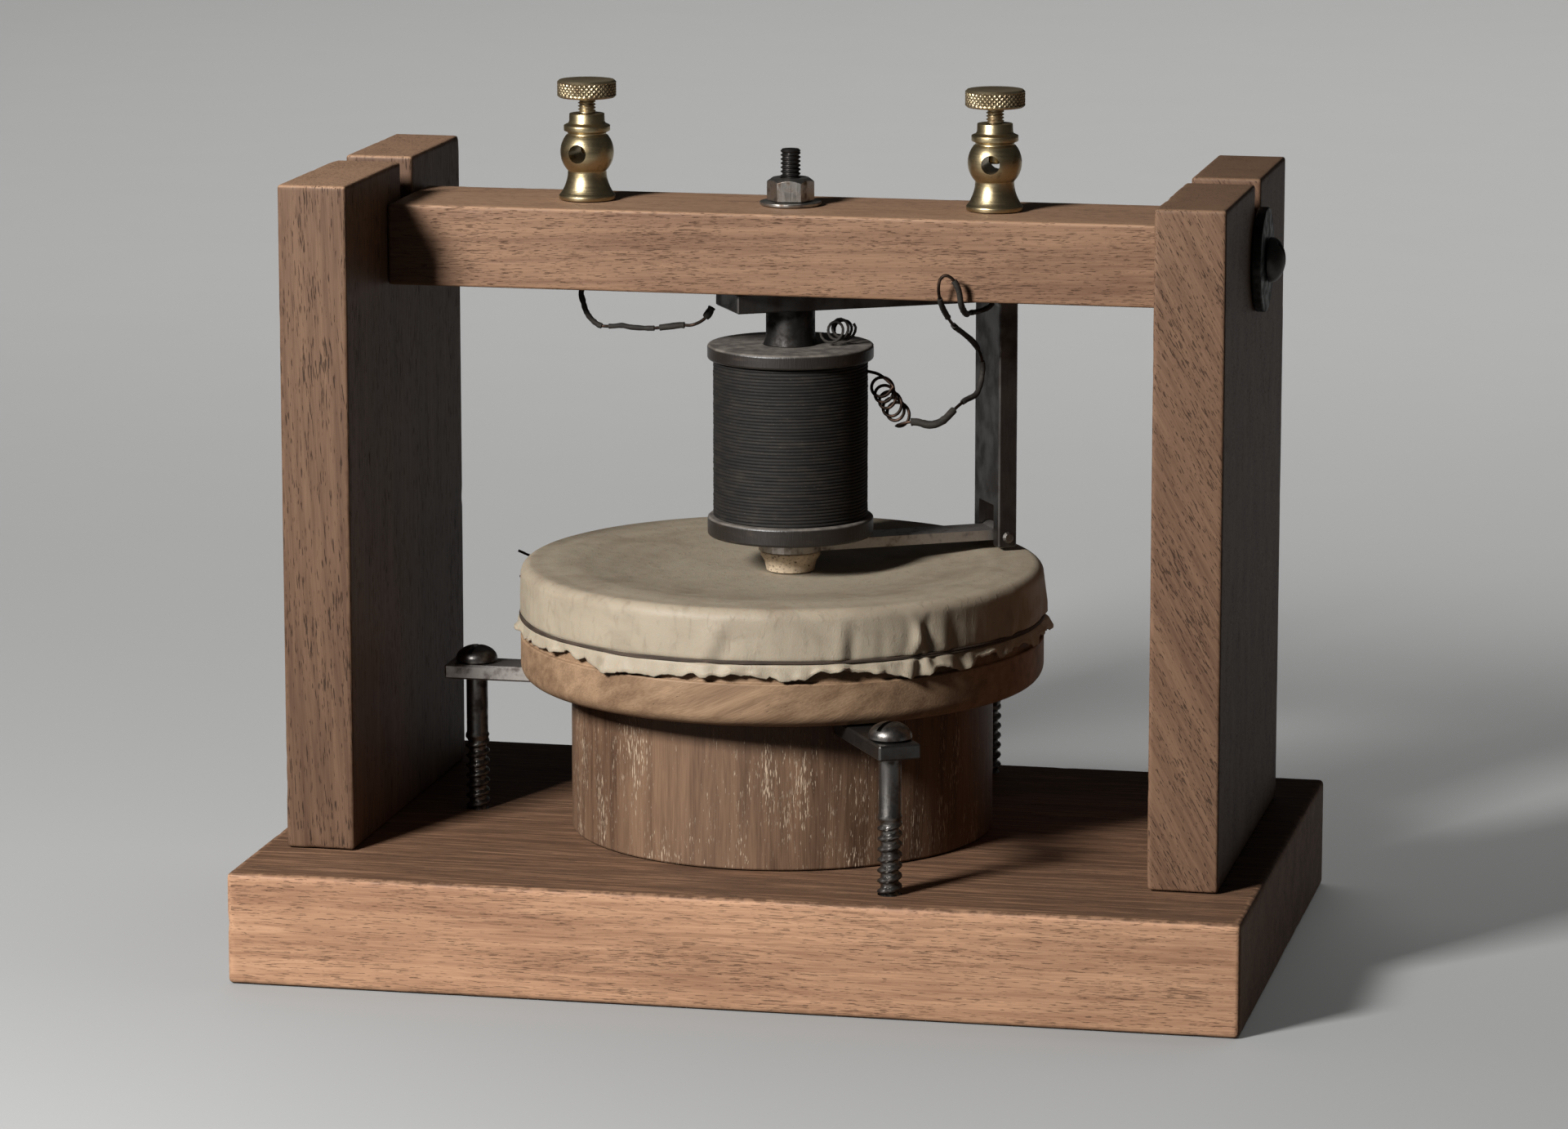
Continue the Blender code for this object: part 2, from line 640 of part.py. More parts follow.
def build_hold_down_screw(number, axis):
    seat = LUG_TOP_Z + GAP
    top = seat + HOLD_DOWN_HEAD_HEIGHT
    outline = (
        [(0, HOLD_DOWN_TIP_Z), (HOLD_DOWN_SHANK_RADIUS, HOLD_DOWN_TIP_Z + HOLD_DOWN_POINT)]
        + [(HOLD_DOWN_SHANK_RADIUS, seat)]
        + dome_head(HOLD_DOWN_HEAD_RADIUS, HOLD_DOWN_HEAD_HEIGHT, seat)
        + [(0, top)]
    )
    screw = piece(
        f"hold_down_screw_{number}",
        turned(outline, FACETS_SMALL),
        "steel",
        parent=axis,
        location=(HOLD_DOWN_RADIUS, 0, 0),
    )
    cut(screw, screw_slot(HOLD_DOWN_HEAD_RADIUS, top), f"hold_down_slot_{number}")


def build_lug_screw(number, axis):
    """The short screw, head down, that holds a lug to the hoop's underside."""
    head = LUG_BOTTOM_Z - GAP
    tip = HOOP_BOTTOM_Z + LUG_SCREW_REACH
    outline = [
        (0, head - LUG_SCREW_HEAD_HEIGHT),
        (0.6 * LUG_SCREW_HEAD_RADIUS, head - LUG_SCREW_HEAD_HEIGHT),
        (LUG_SCREW_HEAD_RADIUS, head - 0.55 * LUG_SCREW_HEAD_HEIGHT),
        (LUG_SCREW_HEAD_RADIUS, head),
        (LUG_SCREW_RADIUS, head),
        (LUG_SCREW_RADIUS, tip - 3 * MM),
        (0, tip),
    ]
    piece(f"lug_screw_{number}", turned(outline, FACETS_FINE), "steel", axis, (LUG_SCREW_AT, 0, 0))


def build_magnet():
    """Core with its stud and nut, and the bobbin with its winding, about the magnet's axis."""
    axis = empty("magnet_axis", (MAGNET_X, MAGNET_Y, 0))
    shoulder = YOKE_BOTTOM_Z - GAP
    core = turned(
        [
            (0, CORE_BOTTOM_Z),
            (CORE_RADIUS, CORE_BOTTOM_Z),
            (CORE_RADIUS, shoulder),
            (STUD_RADIUS, shoulder),
            (STUD_RADIUS, STUD_TOP_Z - STUD_CHAMFER),
            (STUD_RADIUS - STUD_CHAMFER, STUD_TOP_Z),
            (0, STUD_TOP_Z),
        ],
        FACETS_MEDIUM,
    )
    piece("magnet_core", core, "dark_iron", parent=axis)
    bore = CORE_RADIUS + GAP
    for name, (low, high) in (
        ("bobbin_top_flange", TOP_FLANGE_Z),
        ("bobbin_bottom_flange", BOTTOM_FLANGE_Z),
    ):
        flange = turned(
            [
                (bore, low),
                (FLANGE_RADIUS - FLANGE_CHAMFER, low),
                (FLANGE_RADIUS, low + FLANGE_CHAMFER),
                (FLANGE_RADIUS, high - FLANGE_CHAMFER),
                (FLANGE_RADIUS - FLANGE_CHAMFER, high),
                (bore, high),
            ],
            FACETS_MEDIUM,
        )
        piece(name, flange, "ebonised_wood", parent=axis)
    low, high = BOTTOM_FLANGE_Z[1] + GAP, TOP_FLANGE_Z[0] - GAP
    wall = bore + TUBE_WALL
    sleeve = turned([(bore, low), (wall, low), (wall, high), (bore, high)])
    piece("bobbin_tube", sleeve, "ebonised_wood", parent=axis)
    winding = turned(
        [
            (wall + GAP, low),
            (WINDING_RADIUS, low),
            (WINDING_RADIUS, high),
            (wall + GAP, high),
        ],
        FACETS_MEDIUM,
    )
    piece("coil_winding", winding, "silk_wound_wire", parent=axis)
    washer_low = CROSSBAR_TOP_Z + GAP
    washer_high = washer_low + CORE_WASHER_THICKNESS
    hole = STUD_RADIUS + GAP
    washer = turned(
        [
            (hole, washer_low),
            (CORE_WASHER_RADIUS, washer_low),
            (CORE_WASHER_RADIUS, washer_high),
            (hole, washer_high),
        ],
        FACETS_MEDIUM,
    )
    piece("core_washer", washer, "steel", parent=axis)
    build_nut(axis, washer_high + GAP)


def build_nut(axis, low):
    """A hexagon nut with its corners turned off by a cone at each end."""
    across_corners = NUT_FLATS / cos(pi / 6) / 2
    high = low + NUT_THICKNESS
    nut = bmesh.new()
    middle = Matrix.Translation((0, 0, (low + high) / 2))
    bmesh.ops.create_cone(
        nut,
        cap_ends=True,
        segments=6,
        radius1=across_corners,
        radius2=across_corners,
        depth=high - low,
        matrix=middle @ Matrix.Rotation(NUT_TURN, 4, "Z"),
    )
    made = piece("core_nut", nut, "steel", parent=axis)
    inner = NUT_FLATS / 2 - 0.1 * MM
    wide = across_corners + 3 * MM
    for name, face, away in (("nut_top_chamfer", high, 1), ("nut_bottom_chamfer", low, -1)):
        ring = turned(
            [
                (inner, face + away * 0.02 * MM),
                (inner + NUT_CHAMFER_REACH, face - away * NUT_CHAMFER_DROP),
                (wide, face + away * 2 * MM),
                (inner, face + away * 2 * MM),
            ],
            FACETS_MEDIUM,
        )
        cut(made, ring, name)
    cut(made, rod(STUD_RADIUS + GAP, (0, 0, low - MM), (0, 0, high + MM)), "nut_bore")


def build_yoke(axis):
    """Flat iron bar under the crossbar, bent down into a leg that is slotted for the armature."""
    half = YOKE_WIDTH / 2
    outer = arc(
        (LEG_OUTER - YOKE_OUTER_BEND, YOKE_TOP_Z - YOKE_OUTER_BEND), YOKE_OUTER_BEND, 90, 0, 5
    )
    inner = arc(
        (LEG_INNER - YOKE_INNER_BEND, YOKE_BOTTOM_Z - YOKE_INNER_BEND), YOKE_INNER_BEND, 0, 90, 3
    )
    profile = (
        [(YOKE_TAIL, YOKE_TOP_Z)]
        + outer
        + [(LEG_OUTER, LEG_BOTTOM_Z), (LEG_INNER, LEG_BOTTOM_Z)]
        + inner
        + [(YOKE_TAIL, YOKE_BOTTOM_Z)]
    )
    points = [(along, -half, z) for along, z in profile]
    yoke = piece("yoke", extruded(points, YOKE_WIDTH, (0, 1, 0)), "dark_iron", parent=axis)
    rounded(yoke, YOKE_EDGE_ROUND, 1)
    stud_ends = [(0, 0, YOKE_BOTTOM_Z - PAST), (0, 0, YOKE_TOP_Z + PAST)]
    cut(yoke, rod(STUD_RADIUS + GAP, *stud_ends), "yoke_stud_hole")
    slot_half = CLEVIS_WIDTH / 2
    slot = block(
        (LEG_INNER - PAST, -slot_half, LEG_BOTTOM_Z - PAST),
        (LEG_OUTER + PAST, slot_half, CLEVIS_TOP_Z),
    )
    cut(yoke, slot, "clevis_cutter")
    pin_ends = [(PIN_AT, -half - PAST, PIN_Z), (PIN_AT, half + PAST, PIN_Z)]
    cut(yoke, rod(PIN_RADIUS + PIN_HOLE_CLEARANCE, *pin_ends, FACETS_FINE), "pin_hole")


def build_pin(axis):
    """A rivet-headed pin across the leg's slot."""
    half = YOKE_WIDTH / 2 + GAP
    upper = [
        (PIN_RADIUS, half),
        (PIN_HEAD_RADIUS, half),
        (PIN_HEAD_RADIUS, half + 0.45 * PIN_HEAD_HEIGHT),
        (0.6 * PIN_HEAD_RADIUS, half + PIN_HEAD_HEIGHT),
        (0, half + PIN_HEAD_HEIGHT),
    ]
    lower = [(radius, -z) for radius, z in reversed(upper)]
    outline = lower + upper
    pin = piece("armature_pin", turned(outline, FACETS_FINE), "steel", axis, (PIN_AT, 0, PIN_Z))
    pin.rotation_euler = (-pi / 2, 0, 0)


def build_armature(axis):
    """Iron lever on the pin with a round end under the pole, and the cork button it bears on."""
    hinge = empty("armature_axis", (PIN_AT, 0, PIN_Z), parent=axis)
    half = LEVER_WIDTH / 2
    meets = degrees(asin(half / LEVER_END_RADIUS))  # where the lever's sides run into its round end
    sides = [(LEVER_ROOT, -half), (LEVER_ROOT, half)]
    tip = arc((-PIN_AT, 0), LEVER_END_RADIUS, meets, 360 - meets, FACETS_SMALL)
    outline = [(x, y, -LEVER_THICKNESS / 2) for x, y in sides + tip]
    lever = piece("armature_lever", extruded(outline, LEVER_THICKNESS, (0, 0, 1)), "dark_iron", hinge)
    knuckle = piece("knuckle_shape", rod(KNUCKLE_RADIUS, (0, -half, 0), (0, half, 0)), "dark_iron", hinge)
    knuckle.hide_render = True
    knuckle.display_type = "WIRE"
    join = lever.modifiers.new("knuckle", "BOOLEAN")
    join.operation = "UNION"
    join.object = knuckle
    bore_ends = [(0, -half - PAST, 0), (0, half + PAST, 0)]
    cut(lever, rod(PIN_RADIUS + LEVER_BORE_CLEARANCE, *bore_ends, FACETS_FINE), "lever_bore")
    top = LEVER_BOTTOM_Z - GAP - PIN_Z
    foot = SKIN_TOP_Z - SKIN_DIP + GAP - PIN_Z
    button = turned([(0, foot), (BUTTON_FOOT_RADIUS, foot), (BUTTON_TOP_RADIUS, top), (0, top)])
    piece("cork_button", button, "cork", hinge, (-PIN_AT, 0, 0))


def build_binding_post(side, x, turn):
    """Turned brass terminal screwed into the crossbar, with a wire eye and a clamping thumb screw."""
    axis = empty(f"{side}_binding_axis", (x, POST_MIDDLE_Y, CROSSBAR_TOP_Z + GAP), turn)
    foot = [
        (0, -BINDING_STEM_DEPTH),
        (BINDING_STEM_RADIUS, -BINDING_STEM_DEPTH + 2 * MM),
        (BINDING_STEM_RADIUS, 0),
        (BINDING_FOOT_RADIUS, 0),
        (BINDING_FOOT_RADIUS, 1.4 * MM),
        (BINDING_FOOT_RADIUS - 1.5 * MM, 3.0 * MM),
        (BINDING_WAIST_RADIUS, BINDING_WAIST_HEIGHT),
    ]
    ball = arc((0, WIRE_EYE_HEIGHT), BINDING_BALL_RADIUS, -46, 41, 6)
    head = [
        (BINDING_COLLAR_RADIUS + 0.2 * MM, 18.4 * MM),
        (BINDING_RING_RADIUS, 19.3 * MM),
        (BINDING_RING_RADIUS, 20.7 * MM),
        (BINDING_COLLAR_RADIUS, 21.6 * MM),
        (BINDING_COLLAR_RADIUS, BINDING_COLLAR_HEIGHT),
        (0, BINDING_COLLAR_HEIGHT),
    ]
    post = piece(f"{side}_binding_post", turned(foot + ball + head, FACETS_SMALL), "brass", axis)
    across = BINDING_BALL_RADIUS + PAST
    eye_ends = [(0, -across, WIRE_EYE_HEIGHT), (0, across, WIRE_EYE_HEIGHT)]
    cut(post, rod(WIRE_EYE_RADIUS, *eye_ends, FACETS_FINE), f"{side}_wire_eye")
    well_ends = [(0, 0, WIRE_EYE_HEIGHT), (0, 0, BINDING_COLLAR_HEIGHT + PAST)]
    cut(post, rod(SPINDLE_RADIUS + GAP, *well_ends, FACETS_FINE), f"{side}_spindle_well")
    build_thumb_screw(side, axis)


def build_thumb_screw(side, axis):
    """The screw that pinches the wire in the eye: its spindle, and the knob pressed onto that."""
    tip = WIRE_EYE_HEIGHT + WIRE_EYE_RADIUS
    spindle = [
        (0, tip),
        (SPINDLE_RADIUS - 0.5 * MM, tip),
        (SPINDLE_RADIUS, tip + 0.5 * MM),
        (SPINDLE_RADIUS, SPINDLE_TOP),
        (0, SPINDLE_TOP),
    ]
    piece(f"{side}_thumb_spindle", turned(spindle, FACETS_FINE), "brass", axis)
    hole = SPINDLE_RADIUS + GAP
    low, high = KNOB_HEIGHTS
    knob = [
        (0, high - KNOB_ROOF),
        (hole, high - KNOB_ROOF),
        (hole, low),
        (KNOB_RADIUS - KNOB_ROUND, low),
        (KNOB_RADIUS, low + KNOB_ROUND),
        (KNOB_RADIUS, high - KNOB_ROUND),
        (KNOB_RADIUS - KNOB_ROUND, high),
        (0, high),
    ]
    piece(f"{side}_thumb_knob", turned(knob, FACETS_SMALL), "brass", axis)


LEFT_LEAD_ROUTE = [
    (-60.6, 5.0, 183.6),
    (-61.9, 4.8, 180.6),
    (-61.2, 4.6, 177.6),
    (-60.5, 4.5, 175.4),
    (-59.0, 4.4, 173.2),
    (-56.4, 4.2, 171.4),
    (-52.9, 4.1, 171.3),
    (-50.0, 4.1, 171.6),
    (-47.2, 4.0, 171.2),
    (-41.5, 3.9, 171.1),
    (-36.8, 3.8, 171.7),
    (-33.0, 3.6, 172.3),
    (-29.8, 3.5, 172.4),
    (-26.9, 3.3, 173.7),
    (-25.2, 3.2, 175.4),
    (-23.9, 3.2, 177.6),
]

RIGHT_LEAD_ROUTE = [
    (55.8, 4.8, 183.6),
    (55.2, 4.2, 180.6),
    (52.6, 2.4, 179.2),
    (51.0, -3.5, 179.5),
    (50.9, -11.5, 180.4),
    (50.8, -17.9, 183.7),
    (50.4, -19.8, 188.0),
    (48.9, -20.4, 191.0),
    (47.0, -20.8, 192.1),
    (45.4, -20.7, 190.9),
    (44.9, -20.2, 187.8),
    (45.2, -17.6, 183.6),
    (45.6, -10.0, 179.0),
    (46.1, -2.0, 175.2),
    (46.9, 7.0, 172.0),
    (48.1, 16.5, 168.0),
    (48.9, 22.6, 163.8),
    (49.2, 24.8, 159.8),
    (48.9, 23.4, 155.8),
    (48.2, 20.2, 152.8),
    (45.8, 16.2, 151.6),
    (43.5, 12.6, 149.6),
    (41.3, 9.8, 147.2),
    (39.1, 8.6, 146.0),
    (36.8, 8.2, 145.7),
    (33.6, 8.0, 146.4),
    (31.0, 8.0, 146.2),
]

CURL_ROUTE = [
    (28.9, 8.0, 146.4),
    (26.6, 8.0, 148.4),
    (24.7, 8.0, 151.2),
    (23.9, 8.0, 154.4),
    (23.6, 8.0, 158.2),
]

TAIL_ROUTE = [(12.2, 4.2, 168.6), (12.2, 4.2, 173.2), (12.2, 4.2, 177.6)]


def in_metres(route):
    return [tuple(value * MM for value in point) for point in route]


def build_wires():
    """The two leads and the two curls of wire between the terminals, the yoke and the coil."""
    tube("left_lead", in_metres(LEFT_LEAD_ROUTE), LEAD_RADIUS, "silk_wound_wire")
    tube("right_lead", in_metres(RIGHT_LEAD_ROUTE), LEAD_RADIUS, "silk_wound_wire")
    tube("coil_lead_curl", in_metres(CURL_ROUTE), CURL_RADIUS, "silk_wound_wire", CURL_STEP)
    tube("coil_tail_curl", in_metres(TAIL_ROUTE), TAIL_CURL_RADIUS, "silk_wound_wire", CURL_STEP)


def main():
    clear_scene()
    build_base()
    build_posts()
    build_crossbar()
    build_drum()
    build_lugs()
    build_magnet()
    yoke_axis = empty("yoke_axis", (MAGNET_X, MAGNET_Y, 0), YOKE_ANGLE)
    build_yoke(yoke_axis)
    build_pin(yoke_axis)
    build_armature(yoke_axis)
    build_binding_post("left", LEFT_BINDING_X, LEFT_BINDING_TURN)
    build_binding_post("right", RIGHT_BINDING_X, 0.0)
    build_wires()


main()
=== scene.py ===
"""Looks of the gallows-frame membrane telephone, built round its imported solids.

Metres; shader grain sizes are in millimetres. +Z is up, +X runs along the base board from the left post to the
right, and -Y is the front.
"""

import logging
import math
import random
from collections.abc import Iterable, Sequence
from dataclasses import dataclass
from enum import Enum

import bmesh
import bpy
from mathutils import Matrix, Vector, noise


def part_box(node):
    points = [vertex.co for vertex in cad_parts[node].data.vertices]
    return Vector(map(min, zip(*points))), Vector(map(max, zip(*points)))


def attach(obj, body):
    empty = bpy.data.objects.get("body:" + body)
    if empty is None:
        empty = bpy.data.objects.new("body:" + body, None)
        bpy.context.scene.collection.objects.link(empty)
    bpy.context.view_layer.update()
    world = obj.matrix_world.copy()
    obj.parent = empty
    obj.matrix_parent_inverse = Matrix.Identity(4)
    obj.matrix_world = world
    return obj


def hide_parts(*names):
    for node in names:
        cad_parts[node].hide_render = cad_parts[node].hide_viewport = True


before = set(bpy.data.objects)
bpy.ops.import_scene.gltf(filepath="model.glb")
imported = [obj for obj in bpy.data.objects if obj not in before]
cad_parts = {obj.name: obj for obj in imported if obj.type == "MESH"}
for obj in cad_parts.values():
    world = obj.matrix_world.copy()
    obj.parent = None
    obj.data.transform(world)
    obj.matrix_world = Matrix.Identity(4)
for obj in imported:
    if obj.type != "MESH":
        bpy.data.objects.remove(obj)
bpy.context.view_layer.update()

MM = 0.001
TURN = 2 * math.pi
TINY = 1e-6  # points closer than this are one point
GAP = 0.3 * MM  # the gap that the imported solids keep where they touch
USUAL_CREASE = 35.0  # the angle in degrees above which an edge stays sharp
LEFT_TERMINAL_TURN = math.radians(-9.5)
log = logging.getLogger("telephone")

Point = tuple[float, float, float]
Colour = tuple[float, float, float]
Outline = list[tuple[float, float]]
Shape = bmesh.types.BMesh
Piece = bpy.types.Object
Material = bpy.types.Material


class Body(Enum):
    """The bodies that a piece can ride on."""

    STAND = "stand"
    CARRIAGE = "crossbar_carriage"
    ARMATURE = "armature"
    LEFT_CLAMP = "left_clamp"
    RIGHT_CLAMP = "right_clamp"
    LEFT_SPINDLE = "left_spindle"
    RIGHT_SPINDLE = "right_spindle"
    LEFT_KNOB = "left_knob"
    RIGHT_KNOB = "right_knob"


class Side(Enum):
    """The two ends of the crossbar, with the direction away from its middle along X."""

    LEFT = -1
    RIGHT = 1

    @property
    def word(self) -> str:
        """The side's name, as node names start."""
        return self.name.lower()

    def body(self, part: str) -> Body:
        """This side's body of a part, such as CLAMP."""
        return Body[f"{self.name}_{part}"]


class Grain(Enum):
    """The axis that a board's grain runs along."""

    X = (0.0, math.pi / 2, 0.0)
    Z = (0.0, 0.0, 0.0)


# ---------------------------------------------------------------- shader nodes


class Signal:
    """A value that comes out of a node, so that shader maths is written as Python expressions."""

    def __init__(self, bench: "Bench", socket: bpy.types.NodeSocket) -> None:
        """Keeps the bench and the output socket."""
        self.bench, self.socket = bench, socket

    def maths(self, operation: str, *values: "Signal | float") -> "Signal":
        """One Math node on the values, in their order."""
        return self.bench.add("ShaderNodeMath", {"operation": operation}, dict(enumerate(values)))

    def __add__(self, other: "Signal | float") -> "Signal":
        """The sum."""
        return self.maths("ADD", self, other)

    def __sub__(self, other: "Signal | float") -> "Signal":
        """The difference."""
        return self.maths("SUBTRACT", self, other)

    def __rsub__(self, other: float) -> "Signal":
        """The difference from a plain number."""
        return self.maths("SUBTRACT", other, self)

    def __mul__(self, other: "Signal | float") -> "Signal":
        """The product."""
        return self.maths("MULTIPLY", self, other)

    def __abs__(self) -> "Signal":
        """The size without its sign."""
        return self.maths("ABSOLUTE", self)

    __radd__ = __add__

    def held(self, low: float = 0.0, high: float = 1.0) -> "Signal":
        """The value held between two limits."""
        return self.maths("MINIMUM", self.maths("MAXIMUM", self, low), high)

    def band(self, low: float, high: float) -> "Signal":
        """A smooth rise from 0 at low to 1 at high; it falls if low is the larger."""
        settings = {"interpolation_type": "SMOOTHSTEP"}
        return self.bench.add("ShaderNodeMapRange", settings, {"Value": self, 1: low, 2: high})


class Bench:
    """A material's node tree, with short ways to lay its nodes."""

    def __init__(self, name: str) -> None:
        """Starts a material with a bare shader.

        Args:
            name: Its name.
        """
        self.material = bpy.data.materials.new(name)
        self.material.use_nodes = True
        self.tree = self.material.node_tree

    def add(
        self, kind: str, settings: dict | None = None, values: dict | None = None, out: int | str = 0
    ) -> Signal:
        """Lays one node.

        Args:
            kind: The node's type.
            settings: Its properties, set first.
            values: Numbers or signals for its sockets, by name or index.
            out: The output wanted.

        Returns:
            The wanted output.
        """
        node = self.tree.nodes.new(kind)
        for name, value in (settings or {}).items():
            setattr(node, name, value)
        for name, value in (values or {}).items():
            self.feed(node.inputs[name], value)
        return Signal(self, node.outputs[out])

    def feed(self, socket: bpy.types.NodeSocket, value: "Signal | float | tuple") -> None:
        """Links a signal to a socket, or sets the socket to a plain value.

        Args:
            socket: The socket.
            value: What it gets.
        """
        if isinstance(value, Signal):
            self.tree.links.new(value.socket, socket)
        else:
            socket.default_value = value

    def vector(self, operation: str, *values: Signal | Point, out: int | str = 0) -> Signal:
        """One Vector Math node on the values, in their order."""
        return self.add("ShaderNodeVectorMath", {"operation": operation}, dict(enumerate(values)), out)

    def place(self, centre: Point = (0, 0, 0), turn: Point = (0, 0, 0)) -> Signal:
        """Object coordinates about a centre, turned by Euler angles.

        Args:
            centre: The centre.
            turn: The angles.

        Returns:
            The place.
        """
        moved = self.vector("SUBTRACT", self.add("ShaderNodeTexCoord", out="Object"), centre)
        values = {"Vector": moved, "Rotation": turn}
        return self.add("ShaderNodeVectorRotate", {"rotation_type": "EULER_XYZ"}, values)

    def noise(self, where: Signal, cell: float | Point, detail: float, distortion: float = 0.0) -> Signal:
        """Noise of 0 to 1.

        Args:
            where: The place.
            cell: The size of its cells in millimetres, in all directions or along each axis.
            detail: How many finer octaves it has.
            distortion: How far it is warped.

        Returns:
            The noise.
        """
        sizes = cell if isinstance(cell, tuple) else (cell,) * 3
        scale = tuple(1.0 / (size * MM) for size in sizes)
        stretched = self.add("ShaderNodeMapping", values={"Vector": where, "Scale": scale})
        values = {"Vector": stretched, "Scale": 1.0, "Detail": detail, "Distortion": distortion}
        return self.add("ShaderNodeTexNoise", values=values)

    def blend(self, mask: Signal | float, first: Signal | Colour, second: Signal | Colour) -> Signal:
        """A colour between two, by a mask from 0 to 1."""
        first, second = ((*c, 1.0) if isinstance(c, tuple) else c for c in (first, second))
        return self.add("ShaderNodeMix", {"data_type": "RGBA"}, {0: mask, 6: first, 7: second}, 2)

    def axis(self, where: Signal, name: str) -> Signal:
        """One coordinate of a place."""
        return self.add("ShaderNodeSeparateXYZ", values={0: where}, out=name)

    def mark(self, name: str) -> Signal:
        """A number stored on the mesh."""
        return self.add("ShaderNodeAttribute", {"attribute_name": name}, out="Fac")

    def relief(self, height: Signal, depth: float) -> Signal:
        """A bumped normal, from a height of 0 to 1 that stands for a depth in millimetres."""
        values = {"Height": height, "Distance": depth * MM, "Strength": 1.0}
        return self.add("ShaderNodeBump", values=values)

    def dress(self, **inputs: "Signal | float | Colour") -> Material:
        """Links or sets the shader's sockets, whose names are written with _ for spaces.

        Args:
            inputs: What each socket gets.

        Returns:
            The material.
        """
        sockets = self.tree.nodes["Principled BSDF"].inputs
        for name, value in inputs.items():
            self.feed(sockets[name.replace("_", " ")], (*value, 1.0) if isinstance(value, tuple) else value)
        return self.material


# ---------------------------------------------------------------- finishes


@dataclass(frozen=True)
class Wood:
    """Planed or turned wood: figure, streaks, pores and worn edges, and a top face painted lighter or darker
    for how the light falls on it. Grain sizes are in millimetres.
    """

    name: str
    pale: Colour
    dark: Colour
    pore: Colour
    grain: Grain = Grain.X
    tilt: float = 0.0  # slope of the grain, in degrees, seen from the front
    streak: float = 1.6
    pore_width: float = 0.34
    pore_length: float = 4.5
    pore_from: float = 0.58  # a higher start leaves fewer pores
    pore_share: float = 0.75  # how far the pores cover the wood's own colour
    patchy: float = 0.28  # how far the pores gather in patches
    top: float = math.inf  # the height, in metres, of a top face whose colour is painted lighter or darker for how the light falls on it
    top_tone: Colour = (0.2, 0.12, 0.08)
    roughness: float = 0.58
    shift: float = 0.0  # where in the noise the piece lies, in metres

    def material(self) -> Material:
        """Builds the material.

        Returns:
            The material.
        """
        bench = Bench(self.name)
        turn_x, turn_y, turn_z = self.grain.value
        turn = (turn_x, turn_y + math.radians(self.tilt), turn_z)
        where = bench.place((self.shift, 0.7 * self.shift, 0.3 * self.shift), turn)
        wander = bench.noise(where, (18, 18, 110), 3.0)
        bent = bench.vector("MULTIPLY_ADD", wander, (4 * MM,) * 3, where)
        figure = bench.noise(bent, (9, 9, 130), 4.0)
        streaks = bench.noise(bent, (self.streak, self.streak, 40), 3.0)
        fibre = bench.noise(bent, (0.4, 0.4, 9), 2.0)
        patches = bench.noise(bent, (7, 7, 28), 3.0)
        pores = bench.noise(bent, (self.pore_width, self.pore_width, self.pore_length), 2.0)
        pores = (pores + (patches - 0.5) * self.patchy).band(self.pore_from, self.pore_from + 0.09)
        tone = figure.band(0.32, 0.68) * 0.4 + streaks.band(0.3, 0.7) * 0.45 + fibre.band(0.3, 0.7) * 0.3
        colour = bench.blend((tone - 0.05).held(), self.dark, self.pale)
        darkening = bench.noise(where, (24, 31, 40), 4.0).band(0.52, 0.78)
        colour = bench.blend(darkening * 0.4, colour, self.dark)
        # Painted light and shade: the top face takes a tone of its own for how the light falls on it, and
        # scuffs let the wood's own colour show through.
        if math.isfinite(self.top):
            on_top = bench.axis(bench.place(), "Z").band(self.top - 0.9 * MM, self.top - 0.3 * MM)
            scuffs = bench.noise(bent, (1.2, 1.2, 26), 5.0).band(0.42, 0.66)
            colour = bench.blend(on_top * (0.9 - scuffs * 0.36), colour, self.top_tone)
        worn = bench.mark("worn") * bench.noise(where, 3, 3.0).band(0.4, 0.62)
        colour = bench.blend(worn * 0.25, colour, tuple(min(1.0, 1.25 * c) for c in self.pale))
        colour = bench.blend(pores * self.pore_share, colour, self.pore)
        height = (fibre * 0.4 + streaks * 0.3 - pores * 0.7 + 0.5).held()
        rough = self.roughness + pores * 0.2 + (fibre - 0.5) * 0.16 + worn * 0.12
        normal = bench.relief(height, 0.16)
        return bench.dress(Base_Color=colour, Roughness=rough, Normal=normal, Specular_IOR_Level=0.22)


@dataclass(frozen=True)
class Metal:
    """Bare metal with tarnish in patches and fine rubbing marks. Sizes are in millimetres."""

    name: str
    bright: Colour
    tarnish: Colour
    share: float = 0.5  # where the tarnish starts: a lower value covers more
    roughness: float = 0.32
    tarnish_roughness: float = 0.55
    patch: float = 3.0
    marks: Point = (0.25, 0.25, 4.0)
    relief: float = 0.03
    groove: Colour | None = None  # the colour of the mesh's marked grooves

    def material(self) -> Material:
        """Builds the material.

        Returns:
            The material.
        """
        bench = Bench(self.name)
        where = bench.place()
        patches = bench.noise(where, self.patch, 5.0).band(self.share - 0.12, self.share + 0.14)
        marks = bench.noise(where, self.marks, 3.0)
        grit = bench.noise(where, 0.5, 3.0)
        colour = bench.blend(patches, self.bright, self.tarnish)
        colour = bench.blend(grit.band(0.55, 0.75) * 0.35, colour, self.tarnish)
        if self.groove:
            colour = bench.blend(bench.mark("groove"), colour, self.groove)
        rough = self.roughness + patches * (self.tarnish_roughness - self.roughness)
        rough = (rough + (marks - 0.5) * 0.25 + grit.band(0.55, 0.8) * 0.1).held(0.12, 0.9)
        normal = bench.relief((marks * 0.6 + grit * 0.4).held(), self.relief)
        return bench.dress(Base_Color=colour, Roughness=rough, Metallic=1.0, Normal=normal)


